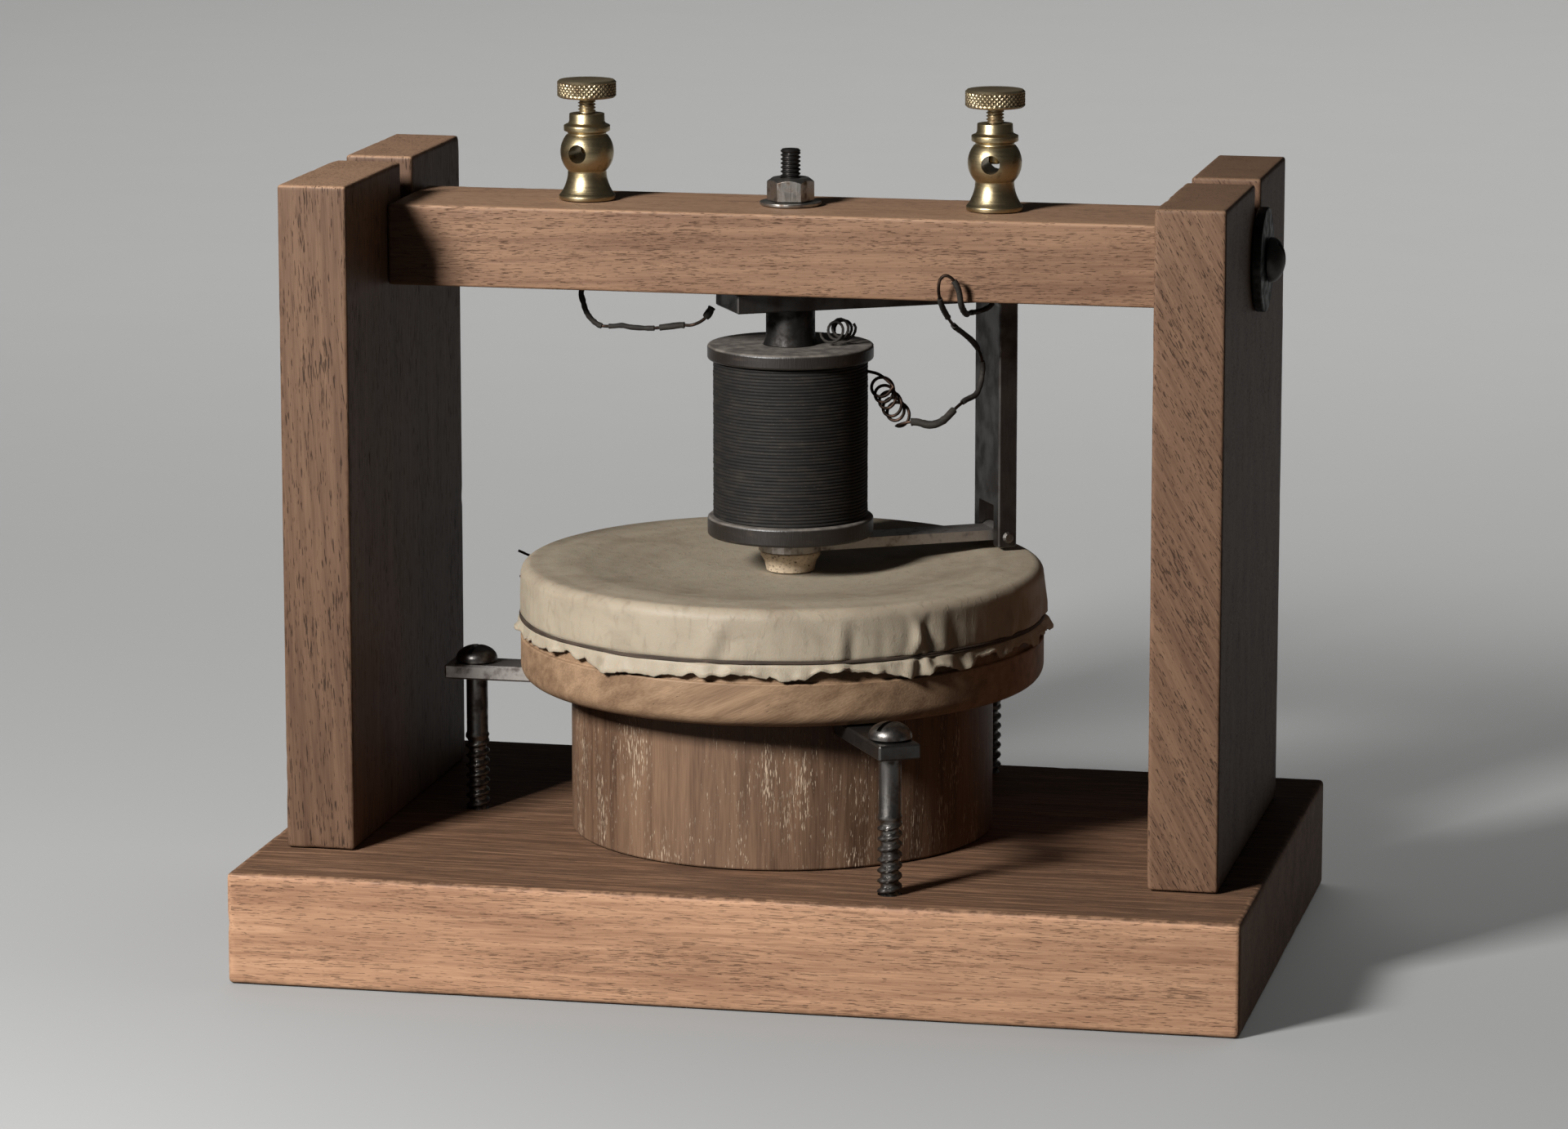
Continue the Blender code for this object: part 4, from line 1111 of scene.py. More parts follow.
@dataclass
class Clamp:
    """The washer and the slotted screw that hold one end of the crossbar."""

    finishes: Finishes
    side: Side
    shank_radius: float = 2.9 * MM
    head_height: float = 4.6 * MM
    slot_turn: float = 20.0  # degrees

    def build(self) -> None:
        """Builds both pieces, with their axis along X, away from the post."""
        word = self.side.word
        low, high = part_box(f"{word}_clamp_washer")
        at = middle_of(f"{word}_clamp_washer")
        thick, radius = high.x - low.x, (high.y - low.y) / 2
        turn = Matrix.Rotation(self.side.value * math.pi / 2, 4, "Y")
        ring = walls(self.shank_radius + GAP, radius, 0, thick)
        washer = lathed(f"{word}_washer", ring, (0, 0, 0), 80, 0.4 * MM)
        inner_x = low.x if self.side is Side.RIGHT else high.x
        bake_place(washer, Matrix.Translation((inner_x, at.y, at.z)) @ turn)
        finished(washer, self.finishes.black_iron, Body.CARRIAGE, "steel", f"{word}_clamp_washer")
        low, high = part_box(f"{word}_clamp_screw")
        top = low.x if self.side is Side.LEFT else high.x
        slot_turn = math.radians(self.slot_turn)
        head = RoundHead((high.y - low.y) / 2, self.head_height, slot_turn=slot_turn).build(f"{word}_screw")
        long = high.x - low.x - self.head_height
        shank = [(0, -long), (0.5 * self.shank_radius, -long), (self.shank_radius, -long + 5 * MM)]
        shank += [(self.shank_radius, 0.2 * MM), (0, 0.2 * MM)]
        rod = place_mesh(f"{word}_shank", turned(shank, steps=32))
        join_into(bake_place(head), rod)
        head_face = top - self.side.value * self.head_height
        bake_place(head, Matrix.Translation((head_face, at.y, at.z)) @ turn)
        finished(head, self.finishes.iron, self.side.body("CLAMP"), "steel", f"{word}_clamp_screw")


@dataclass(frozen=True)
class Crease:
    """A fold in the drum skin's skirt: where it is, how wide and how far it leans."""

    angle: float  # degrees about the drum
    width: float  # degrees
    depth: float
    lean: float  # degrees for each millimetre of height


@dataclass
class Drum:
    """Sound cylinder, hoop, skin and the thread that ties it, with three lugs and their screws."""

    finishes: Finishes
    bore: float = 50.0 * MM
    hoop_seat: float = 72.4 * MM
    hoop_seat_z: float = 86.6 * MM
    hoop_round: float = 4.2 * MM
    skin_thickness: float = 0.4 * MM
    shoulder: float = 3.2 * MM
    flat_from: float = 59.8 * MM
    tie_z: float = 92.4 * MM
    hem_flare: float = 1.5 * MM
    slot_turns: Point = (80.0, 62.0, 15.0)  # of the hold-down screws' heads, in degrees
    creases: tuple[Crease, ...] = (
        Crease(-95.0, 2.4, 0.9 * MM, 0.30),
        Crease(-66.0, 1.8, 0.8 * MM, 0.05),
        Crease(-49.5, 1.3, 1.1 * MM, 0.22),
        Crease(-46.5, 1.2, 1.1 * MM, -0.25),
        Crease(-41.0, 2.0, 0.7 * MM, -0.10),
        Crease(-120.0, 3.5, 0.5 * MM, 0.25),
        Crease(-140.0, 3.0, 0.4 * MM, -0.15),
        Crease(-20.0, 2.5, 0.8 * MM, 0.20),
        Crease(8.0, 2.8, 0.9 * MM, -0.20),
        Crease(55.0, 3.0, 0.8 * MM, 0.15),
        Crease(98.0, 2.2, 0.9 * MM, -0.25),
        Crease(140.0, 2.6, 0.8 * MM, 0.10),
        Crease(172.0, 3.2, 0.6 * MM, 0.20),
    )

    def __post_init__(self) -> None:
        """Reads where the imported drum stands."""
        self.axis = middle_of("sound_cylinder")
        self.centre = (self.axis.x, self.axis.y, 0.0)
        low, high, self.skin_radius = sized("membrane")
        self.skin_top, self.hem_z = high.z, low.z
        self.dip = self.skin_top - (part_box("cork_button")[0].z - GAP)

    def build(self) -> None:
        """Builds and dresses the whole drum."""
        self.cylinder()
        self.hoop()
        self.skin()
        self.tie()
        for number in (1, 2, 3):
            # Lugs 2 and 3 take the dark iron as painted shade; lug 1 keeps the lighter lug iron.
            dress_node(f"hold_down_lug_{number}", self.finishes.lug if number == 1 else self.finishes.iron)
            dress_node(f"lug_screw_{number}", self.finishes.dark_steel)
            self.hold_down_screw(number)

    def cylinder(self) -> None:
        """The turned tube that the hoop stands on."""
        low, high, radius = sized("sound_cylinder")
        outline = walls(self.bore, radius, low.z, high.z)
        made = lathed("turned_cylinder", outline, self.centre, 160, 0.6 * MM)
        finished(made, self.finishes.cylinder, Body.STAND, "turned_wood", "sound_cylinder")

    def hoop(self) -> None:
        """The wide ring that the skin is stretched over."""
        low, high, radius = sized("drum_hoop")
        foot = (radius - self.hoop_round, low.z + self.hoop_round)
        outline = [(self.flat_from, low.z)] + arc(foot, self.hoop_round, -90, 0, 8)
        outline += [(radius, self.hoop_seat_z), (self.hoop_seat, self.hoop_seat_z)]
        outline += [(self.hoop_seat, high.z - 1.6 * MM), (self.hoop_seat - 1.6 * MM, high.z)]
        outline += [(self.flat_from, high.z)]
        made = lathed("turned_hoop", outline, self.centre, 192, 0.4 * MM, 2)
        finished(made, self.finishes.hoop, Body.STAND, "turned_wood", "drum_hoop")

    def skin_outline(self) -> Outline:
        """The skin's outer face, from its middle out and down to its hem.

        Returns:
            The outline.
        """
        shares = [i / 20 for i in range(21)]
        dished = [(self.flat_from * s, self.skin_top - self.dip * (1 - s**2)) for s in shares]
        corner = (self.skin_radius - self.shoulder, self.skin_top - self.shoulder)
        flat = rows(dished[-1], (corner[0], self.skin_top), 2 * MM)[1:-1]
        bend = arc(corner, self.shoulder, 90, 0, 8)
        above_tie = self.tie_z + 1.0 * MM
        skirt = rows(bend[-1], (self.skin_radius, above_tie), 0.8 * MM)[1:]
        below = rows((self.skin_radius, above_tie), (self.skin_radius, self.hem_z), 0.3 * MM)[1:]
        return dished + flat + bend + skirt + below

    def folded(self, angle: float, z: float) -> float:
        """How far the skirt stands out at an angle in degrees and a height.

        Args:
            angle: The angle about the drum.
            z: The height.

        Returns:
            The distance outwards.
        """
        out = 0.0
        reach = min(1.0, max(0.0, (self.skin_top - 1.5 * MM - z) / (9 * MM)))
        for crease in self.creases:
            off = (angle - crease.angle - crease.lean * (z - self.tie_z) / MM + 180) % 360 - 180
            ridge = math.exp(-((off / crease.width) ** 2))
            valley = math.exp(-(((off - 1.6 * crease.width) / (0.7 * crease.width)) ** 2))
            out += crease.depth * reach * (ridge - 0.45 * valley)
        spot = Vector((math.cos(math.radians(angle)), math.sin(math.radians(angle)), 0))
        wave = noise.noise(spot * 9 + Vector((0, 0, z * 60)))
        wave += 0.5 * noise.noise(spot * 26 + Vector((0, 0, z * 90)))
        return out + 0.35 * MM * reach * (0.6 + wave)

    def skin(self) -> None:
        """The drumhead, with its folds, the groove under the thread and its torn hem."""
        shape = turned_open(self.skin_outline(), 540)
        torn = random.Random(11)
        phase = [torn.uniform(0, 50) for _ in range(3)]
        for vert in shape.verts:
            x, y, z = vert.co
            reach = math.hypot(x, y)
            if reach < 1e-6:
                continue
            angle = math.degrees(math.atan2(y, x))
            spot = Vector((x, y, 0)).normalized()
            if z > self.skin_top - self.shoulder and reach < self.skin_radius - 1.5 * MM:
                sag = 0.10 * MM * noise.noise(Vector((x, y, 0)) * 60)
                vert.co.z += sag * min(1.0, (self.skin_radius - reach) / (10 * MM))
                continue
            out = self.folded(angle, z)
            below = self.tie_z - z
            if below > -0.9 * MM:
                pinch = math.exp(-((below / (0.55 * MM)) ** 2))
                out = out * (1 - 0.75 * pinch) - 0.35 * MM * pinch
            if below > 0.3 * MM:
                share = min(1.0, (below - 0.3 * MM) / (3.5 * MM))
                flutter = noise.noise(spot * 7 + Vector((phase[0], 0, 0)))
                flutter += 0.7 * noise.noise(spot * 21 + Vector((phase[1], 0, 0)))
                out += self.hem_flare * share * (0.55 + 0.9 * flutter)
                tear = noise.noise(spot * 6 + Vector((phase[2], 0, 0))) + 0.45 * noise.noise(spot * 19)
                frayed = 0.16 * noise.noise(spot * 90)
                vert.co.z += share * share * (0.9 + 3.0 * (tear + frayed)) * MM
            out = max(out, -0.3 * MM)
            vert.co.x += spot.x * out
            vert.co.y += spot.y * out
        bmesh.ops.translate(shape, vec=self.centre, verts=shape.verts)
        made = place_mesh("drum_skin", shape, 60)
        wall = made.modifiers.new("thickness", "SOLIDIFY")
        wall.thickness = self.skin_thickness
        wall.offset = -1
        bake_place(made)
        finished(made, self.finishes.skin, Body.STAND, "parchment", "membrane")

    def tie(self) -> None:
        """Two turns of waxed thread round the skirt, with their loose ends behind on the left."""
        turns, per_turn, radius = 2, 90, 0.36 * MM
        ring = self.skin_radius + 0.15 * MM
        points = []
        for step in range(turns * per_turn + 1):
            angle = math.radians(150) + TURN * step / per_turn
            spot = Vector((math.cos(angle), math.sin(angle), 0))
            drift = 0.45 * MM * noise.noise(spot * 3 + Vector((0, 0, step / per_turn)))
            z = self.tie_z - 0.38 * MM + 0.72 * MM * step / (turns * per_turn) + drift
            points.append(Vector((self.axis.x + ring * spot.x, self.axis.y + ring * spot.y, z)))
        made = wire("tie_thread_turns", points, radius, 0.15)
        finished(made, self.finishes.thread, Body.STAND, "tie_thread", "tie_thread")
        upper = ((-5.0, 1.5, 1.6), (-11.0, 1.5, 3.6), (-17.5, 1.2, 5.2), (-22.5, 0.8, 7.2))
        lower = ((-5.0, 1.5, 0.4), (-11.0, 1.2, 0.0), (-17.0, 0.8, 0.5), (-22.0, 0.4, -1.2))
        ends = (("tie_end_upper", points[0], upper), ("tie_end_lower", points[-1], lower))
        for name, base, steps in ends:
            route = [base] + [base + Vector(step) * MM for step in steps]
            loose = wire(name, smooth_route(route, 0.7 * MM), radius, 0.3)
            finished(loose, self.finishes.thread, Body.STAND, "tie_thread")

    def hold_down_screw(self, number: int) -> None:
        """A long wood screw: slotted round head, plain shank, and a coarse thread into the base.

        Args:
            number: Which of the three.
        """
        node = f"hold_down_screw_{number}"
        low, high, head_radius = sized(node)
        at = middle_of(node)
        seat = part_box(f"hold_down_lug_{number}")[1].z + GAP
        thread = Thread(low.z + 1 * MM, seat - 21.5 * MM, 3.4 * MM, 2.9 * MM, 0.95 * MM, 2.5 * MM)
        outline = [(0, low.z), (0.6 * MM, low.z)] + thread.outline()
        outline += [(3.05 * MM, thread.high + 0.8 * MM), (3.05 * MM, seat), (0, seat)]
        shape = turned(outline, steps=40)
        thread.cut(shape, (0, 0, 0))
        for vert in shape.verts:
            point_share = min(1.0, max(0.15, (vert.co.z - low.z) / (8 * MM)))
            vert.co.x *= point_share
            vert.co.y *= point_share
        shank = place_mesh(f"{node}_shank", shape)
        slot_turn = math.radians(self.slot_turns[number - 1])
        head = RoundHead(head_radius, high.z - seat, slot_turn=slot_turn).build(f"long_screw_{number}")
        join_into(bake_place(head, Matrix.Translation((0, 0, seat))), shank)
        bake_place(head, Matrix.Translation((at.x, at.y, 0)))
        finished(head, self.finishes.dark_steel, Body.STAND, "steel", node)


@dataclass
class Electromagnet:
    """Core with its threaded stud, nut and washer, and the bobbin with its winding."""

    finishes: Finishes
    wire_pitch: float = 0.92 * MM
    wire_bulge: float = 0.3 * MM
    stud_pitch: float = 1.15 * MM
    neck_flare: float = 0.7 * MM
    nut_across: float = 11.5 * MM
    nut_turn: float = 8.0  # degrees
    neck_height: float = 10.1 * MM  # of the core, between the bobbin and the crossbar
    stud_radius: float = 2.8 * MM
    tube_bore: float = 7.2 * MM
    washer_bore: float = 3.1 * MM

    def build(self) -> None:
        """Builds and dresses the whole magnet."""
        self.axis = middle_of("magnet_core")
        self.centre = (self.axis.x, self.axis.y, 0.0)
        self.core()
        self.flange("bobbin_top_flange", "top_flange")
        self.flange("bobbin_bottom_flange", "bottom_flange")
        self.winding()
        dress_node("bobbin_tube", self.finishes.stain)
        self.washer()
        self.nut()

    def core(self) -> None:
        """Iron core, flared where it meets the bobbin, with its stud up through the crossbar."""
        low, high, radius = sized("magnet_core")
        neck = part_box("bobbin_top_flange")[1].z
        shoulder = neck + self.neck_height
        stud = self.stud_radius
        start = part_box("crossbar")[1].z + 0.5 * MM
        thread = Thread(start, high.z - 0.5 * MM, stud, self.stud_pitch, 0.5 * MM, 0.8 * MM)
        outline = [(0, low.z), (radius, low.z), (radius, neck)]
        outline += [(radius + self.neck_flare, neck + 0.1 * MM), (radius + 0.15 * MM, neck + 1.6 * MM)]
        outline += [(radius, neck + 3 * MM), (radius, shoulder), (stud, shoulder)]
        outline += thread.outline() + [(stud - 0.5 * MM, high.z), (0, high.z)]
        shape = turned(outline, steps=48)
        thread.cut(shape, (0, 0, 0))
        bmesh.ops.translate(shape, vec=self.centre, verts=shape.verts)
        core = place_mesh("core_and_stud", shape)
        finished(core, self.finishes.black_iron, Body.CARRIAGE, "dark_iron", "magnet_core")

    def flange(self, node: str, name: str) -> None:
        """A black-stained end of the bobbin.

        Args:
            node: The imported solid.
            name: The piece's name.
        """
        low, high, radius = sized(node)
        made = lathed(name, walls(self.tube_bore, radius, low.z, high.z), self.centre, 128, 0.7 * MM)
        finished(made, self.finishes.stain, Body.CARRIAGE, "ebonised_wood", node)

    def winding(self) -> None:
        """Covered wire wound in one close helix that shows turn by turn."""
        low, high, radius = sized("coil_winding")
        turns = math.ceil((high.z - low.z) / self.wire_pitch) + 2
        start = low.z - self.wire_pitch
        outline = []
        for turn in range(turns):
            for step in range(5):
                share = step / 5
                bulge = self.wire_bulge * math.sqrt(max(0.0, 1 - (2 * share - 1) ** 2))
                outline.append((radius - self.wire_bulge + bulge, start + (turn + share) * self.wire_pitch))
        shape = spun(outline, 120, rise=self.wire_pitch)
        for end, away in ((low.z, -1), (high.z, 1)):
            everything = shape.verts[:] + shape.edges[:] + shape.faces[:]
            bmesh.ops.bisect_plane(
                shape, geom=everything, plane_co=(0, 0, end), plane_no=(0, 0, away), clear_outer=True
            )
        for vert in shape.verts:
            turn = (vert.co.z - low.z) / self.wire_pitch
            loose = noise.noise(Vector((vert.co.x * 40, vert.co.y * 40, turn * 0.9)))
            share = 1 + 0.09 * MM * loose / radius
            vert.co.x *= share
            vert.co.y *= share
        bmesh.ops.holes_fill(shape, edges=[edge for edge in shape.edges if edge.is_boundary], sides=0)
        bmesh.ops.recalc_face_normals(shape, faces=shape.faces)
        bmesh.ops.translate(shape, vec=self.centre, verts=shape.verts)
        made = place_mesh("wire_winding", shape, 70)
        finished(made, self.finishes.winding, Body.CARRIAGE, "silk_wound_wire", "coil_winding")

    def nut(self) -> None:
        """The six-sided nut, with its top corners turned off."""
        low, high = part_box("core_nut")
        across = self.nut_across / math.sqrt(3)
        shape = bmesh.new()
        turn = Matrix.Rotation(math.radians(30 + self.nut_turn), 4, "Z")
        bmesh.ops.create_cone(
            shape, cap_ends=True, segments=6, radius1=across, radius2=across, depth=high.z - low.z, matrix=turn
        )
        bmesh.ops.translate(shape, vec=(*self.centre[:2], (low.z + high.z) / 2), verts=shape.verts)
        made = place_mesh("stud_nut", shape)
        over, under, flat = high.z + 0.3 * MM, high.z - 1.5 * MM, self.nut_across / 2
        ring = [(flat - 1.1 * MM, over), (flat + 1.4 * MM, under), (2 * flat, under), (2 * flat, over)]
        chamfer = turned(ring, self.centre, 48)
        bore = turned(walls(0, 3 * MM, low.z - MM, over), self.centre, 48)
        cut_away(made, [chamfer, bore])
        softened(made, 0.2 * MM, 2)
        finished(made, self.finishes.steel, Body.CARRIAGE, "steel", "core_nut")

    def washer(self) -> None:
        """The round washer under the nut."""
        low, high, radius = sized("core_washer")
        outline = walls(self.washer_bore, radius, low.z, high.z)
        made = lathed("stud_washer", outline, self.centre, 64, 0.2 * MM)
        finished(made, self.finishes.steel, Body.CARRIAGE, "steel", "core_washer")


@dataclass
class Armature:
    """The bent yoke, the hinged lever and the cork button that it bears on."""

    finishes: Finishes
    foot_radius: float = 6.7 * MM

    def build(self) -> None:
        """Dresses the iron and turns the button."""
        dress_node("yoke", self.finishes.iron)
        dress_node("armature_lever", self.finishes.lug)
        dress_node("armature_pin", self.finishes.dark_steel)
        low, high, top_radius = sized("cork_button")
        at = middle_of("cork_button")
        waist = (0.62 * self.foot_radius + 0.38 * top_radius, low.z + 0.5 * (high.z - low.z))
        outline = [(0, low.z), (self.foot_radius, low.z), waist, (top_radius, high.z - 1.2 * MM)]
        outline += [(top_radius, high.z), (0, high.z)]
        button = lathed("turned_button", outline, (at.x, at.y, 0), 96, 0.35 * MM)
        finished(button, self.finishes.cork, Body.ARMATURE, "cork", "cork_button")


@dataclass
class BindingPost:
    """A turned terminal with a wire eye, and the thumb screw that pinches the wire."""

    finishes: Finishes
    side: Side
    turn: float = 0.0
    foot_radius: float = 7.9 * MM
    waist_radius: float = 5.45 * MM
    ball_radius: float = 7.5 * MM
    eye_height: float = 13.2 * MM
    eye_radius: float = 2.6 * MM
    ring_radius: float = 6.5 * MM
    collar_radius: float = 5.0 * MM
    thread_radius: float = 2.5 * MM
    tip_reach: float = 3.0 * MM  # how far the spindle's plain tip stands into the wire eye
    knurls: int = 36
    knurl_depth: float = 0.45 * MM

    def build(self) -> None:
        """Builds the terminal, its spindle and its knurled knob."""
        self.word = self.side.word
        self.at = middle_of(f"{self.word}_thumb_spindle")
        self.foot_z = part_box("crossbar")[1].z + GAP
        self.terminal()
        self.spindle()
        self.knob()

    def terminal(self) -> None:
        """The turned body: flared foot, ball with its eye, ring and collar."""
        low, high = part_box(f"{self.word}_binding_post")
        foot = [(0, low.z - self.foot_z), (1.9 * MM, low.z - self.foot_z), (1.9 * MM, 0)]
        foot += [(self.foot_radius, 0), (self.foot_radius, 1.1 * MM), (self.foot_radius - 0.5 * MM, 1.7 * MM)]
        wide = self.foot_radius - 0.7 * MM - self.waist_radius
        shares = [i / 8 for i in range(9)]
        flare = [(self.waist_radius + wide * (1 - s) ** 1.8, (1.9 + 5.4 * s) * MM) for s in shares]
        ball = arc((0, self.eye_height), self.ball_radius, -44, 40, 22)
        top = high.z - self.foot_z
        collar, ring, mouth = self.collar_radius, self.ring_radius, 2.4 * MM
        head = [(collar + 0.4 * MM, 18.1 * MM), (collar + 0.4 * MM, 18.7 * MM), (ring, 19.2 * MM)]
        head += [(ring, 20.7 * MM), (collar + 0.2 * MM, 21.3 * MM), (collar, 21.9 * MM)]
        head += [(collar - 0.1 * MM, top), (mouth, top), (mouth, top - 2 * MM), (0, top - 2 * MM)]
        body = lathed(f"{self.word}_terminal", foot + flare + ball + head, (0, 0, 0), 96, 0.15 * MM, 2)
        eye = turned(walls(0, self.eye_radius, -12 * MM, 12 * MM), steps=48)
        tip = Matrix.Translation((0, 0, self.eye_height)) @ Matrix.Rotation(math.pi / 2, 4, "X")
        bmesh.ops.transform(eye, matrix=tip, verts=eye.verts)
        cut_away(body, [eye])
        turn = Matrix.Rotation(self.turn, 4, "Z")
        bake_place(body, Matrix.Translation((self.at.x, self.at.y, self.foot_z)) @ turn)
        finished(body, self.finishes.brass, Body.CARRIAGE, "brass", f"{self.word}_binding_post")

    def spindle(self) -> None:
        """The threaded spindle between the collar and the knob."""
        low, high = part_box(f"{self.word}_thumb_spindle")
        tip, collar = low.z - self.tip_reach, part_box(f"{self.word}_binding_post")[1].z + GAP
        thread = Thread(collar, high.z, self.thread_radius, 0.9 * MM, 0.45 * MM, 0.3 * MM)
        outline = [(0, tip), (1.2 * MM, tip), (1.7 * MM, tip + 0.6 * MM), (1.7 * MM, collar)]
        outline += thread.outline() + [(0, high.z)]
        shape = turned(outline, steps=36)
        thread.cut(shape, (0, 0, 0))
        bmesh.ops.translate(shape, vec=(self.at.x, self.at.y, 0), verts=shape.verts)
        made = place_mesh(f"{self.word}_spindle_thread", shape)
        finished(made, self.finishes.knurled, self.side.body("SPINDLE"), "brass", f"{self.word}_thumb_spindle")

    def knob(self) -> None:
        """The thumb screw's head, with a diamond knurl round its rim."""
        low, high, radius = sized(f"{self.word}_thumb_knob")
        tall = high.z - low.z
        chamfer = 0.55 * MM
        band = rows((radius, chamfer), (radius, tall - chamfer), 0.2 * MM)
        bore = 2.2 * MM
        outline = [(bore, tall - 0.9 * MM), (bore, 0.3 * MM), (bore + 0.8 * MM, 0), (radius - chamfer, 0)]
        outline += band + [(radius - chamfer, tall), (0.62 * radius, tall)]
        outline += [(0.55 * radius, tall - 0.12 * MM), (0, tall - 0.1 * MM), (0, tall - 0.9 * MM)]
        shape = spun(outline, self.knurls * 6, closed=True)
        loose = [edge for edge in shape.edges if not edge.link_faces]
        bmesh.ops.delete(shape, geom=loose, context="EDGES")
        bmesh.ops.recalc_face_normals(shape, faces=shape.faces)
        groove = shape.verts.layers.float.new("groove")
        for vert in shape.verts:
            reach = math.hypot(vert.co.x, vert.co.y)
            if reach < radius - 0.01 * MM:
                continue
            along = math.atan2(vert.co.y, vert.co.x) / TURN * self.knurls
            up = vert.co.z / (TURN * radius / self.knurls)
            first = abs(((along + up) % 1.0) - 0.5) * 2
            second = abs(((along - up) % 1.0) - 0.5) * 2
            inside = min(vert.co.z - chamfer, tall - chamfer - vert.co.z) / (0.3 * MM)
            cut = max(first**3, second**3) * min(1.0, max(0.0, inside))
            vert[groove] = cut
            drop = self.knurl_depth * cut
            vert.co.x *= (reach - drop) / reach
            vert.co.y *= (reach - drop) / reach
        bmesh.ops.translate(shape, vec=(self.at.x, self.at.y, low.z), verts=shape.verts)
        made = place_mesh(f"{self.word}_knurled_knob", shape, 30)
        finished(made, self.finishes.knurled, self.side.body("KNOB"), "brass", f"{self.word}_thumb_knob")


@dataclass
class Wiring:
    """The two leads between the terminals and the magnet, and the curls at the winding's ends."""

    finishes: Finishes
    bare_radius: float = 0.45 * MM
    cover_radius: float = 0.82 * MM
    loop_radius: float = 2.95 * MM
    loop_turns: float = 5.5
    tail_radius: float = 2.7 * MM
    tail_turns: float = 3.6
    tail_wire: float = 0.4 * MM  # the thinner wire's radius
    coil_end: float = 160.5 * MM  # the height where the wire leaves the winding
    left_route: tuple[Point, ...] = (
        (-60.6, 5.0, 183.6), (-61.9, 4.8, 180.6), (-61.2, 4.6, 177.6), (-60.5, 4.5, 175.4),
        (-59.0, 4.4, 173.2), (-56.4, 4.2, 171.4), (-52.9, 4.1, 171.3), (-50.0, 4.1, 171.6),
        (-47.2, 4.0, 171.2), (-41.5, 3.9, 171.1), (-36.8, 3.8, 171.7), (-33.0, 3.6, 172.3),
        (-29.8, 3.5, 172.4), (-26.9, 3.3, 173.7), (-25.2, 3.2, 175.4), (-23.9, 3.2, 177.6),
    )
    right_route: tuple[Point, ...] = (
        (55.8, 4.8, 183.6), (55.2, 4.2, 180.6), (52.6, 2.4, 179.2), (51.0, -3.5, 179.5),
        (50.9, -11.5, 180.4), (50.8, -17.9, 183.7), (50.4, -19.8, 188.0), (48.9, -20.4, 191.0),
        (47.0, -20.8, 192.1), (45.4, -20.7, 190.9), (44.9, -20.2, 187.8), (45.2, -17.6, 183.6),
        (45.6, -10.0, 179.0), (46.1, -2.0, 175.2), (46.9, 7.0, 172.0), (48.1, 16.5, 168.0),
        (48.9, 22.6, 163.8), (49.2, 24.8, 159.8), (48.9, 23.4, 155.8), (48.2, 20.2, 152.8),
        (45.8, 16.2, 151.6), (43.5, 12.6, 149.6), (41.3, 9.8, 147.2), (39.1, 8.6, 146.0),
        (36.8, 8.2, 145.7), (33.6, 8.0, 146.4), (31.0, 8.0, 146.2),
    )
    curl_route: tuple[Point, ...] = (
        (28.9, 10.5, 147.6), (27.4, 9.2, 149.4), (25.9, 8.0, 151.6), (24.6, 6.8, 154.4), (23.9, 5.6, 157.2),
    )
    tail_route: tuple[Point, ...] = ((10.4, 2.4, 171.6), (12.4, 4.6, 172.4), (13.6, 7.0, 172.0))

    def build(self) -> None:
        """Lays every wire and its covering."""
        self.left_lead()
        self.right_lead()
        self.tail()

    @staticmethod
    def metres(route: Sequence[Point]) -> list[Point]:
        """A route in metres."""
        return [tuple(value * MM for value in point) for point in route]

    def laid(
        self, made: Piece, points: Sequence[Vector]
    ) -> None:
        """States how long a wire is.

        Args:
            made: The wire.
            points: Its points, from where it leaves the object.
        """
        run_length(points)
        log.info("%s is %.0f mm long", made.name, run_length(points) / MM)

    def helix(self, route: Sequence[Point], radius: float, turns: float) -> list[Vector]:
        """Uneven loops of wire, slumped so that each loop faces the front.

        Args:
            route: The line that they wind about, in millimetres.
            radius: Their usual radius.
            turns: How many they are.

        Returns:
            The wire's points.
        """
        spine = smooth_route(self.metres(route), 0.4 * MM)
        steps = round(turns * 16)
        points = []
        for step in range(steps + 1):
            share = step / steps
            at = share * (len(spine) - 1)
            here = spine[min(int(at), len(spine) - 2)].lerp(spine[min(int(at) + 1, len(spine) - 1)], at % 1.0)
            angle = math.pi + TURN * turns * share
            size = radius * (1 + 0.3 * noise.noise(Vector((share * 9, 1.7, 0))))
            out = Vector((math.cos(angle), 0.25 * math.sin(angle), math.sin(angle)))
            points.append(here + out * size)
        return points

    def covers(
        self, name: str, points: Sequence[Vector], spans: Sequence[tuple[float, float, float]]
    ) -> list[Piece]:
        """Sleeves of covering over shares of a wire.

        Args:
            name: The sleeves' name, which their numbers follow.
            points: The wire's points.
            spans: For each sleeve, its first and last share of the points, and its size against the usual one.

        Returns:
            The sleeves.
        """
        made = []
        for number, (start, end, size) in enumerate(spans, 1):
            first, last = round(start * (len(points) - 1)), round(end * (len(points) - 1))
            sleeve = wire(f"{name}_{number}", points[first : last + 1], self.cover_radius * size, 0.18)
            finished(sleeve, self.finishes.lead, Body.CARRIAGE, "silk_wound_wire")
            made.append(sleeve)
        return made

    def left_lead(self) -> None:
        """From the left terminal, under the crossbar, to the yoke."""
        points = smooth_route(self.metres(self.left_route), 0.6 * MM)
        made = wire("left_lead_wire", points, self.bare_radius)
        finished(made, self.finishes.copper, Body.CARRIAGE, "silk_wound_wire", "left_lead")
        spans = ((0.0, 0.3, 1.0), (0.36, 0.6, 0.9), (0.63, 0.78, 1.15), (0.93, 1.0, 1.35))
        sleeves = self.covers("left_lead_cover", points, spans)
        self.laid(made, points)

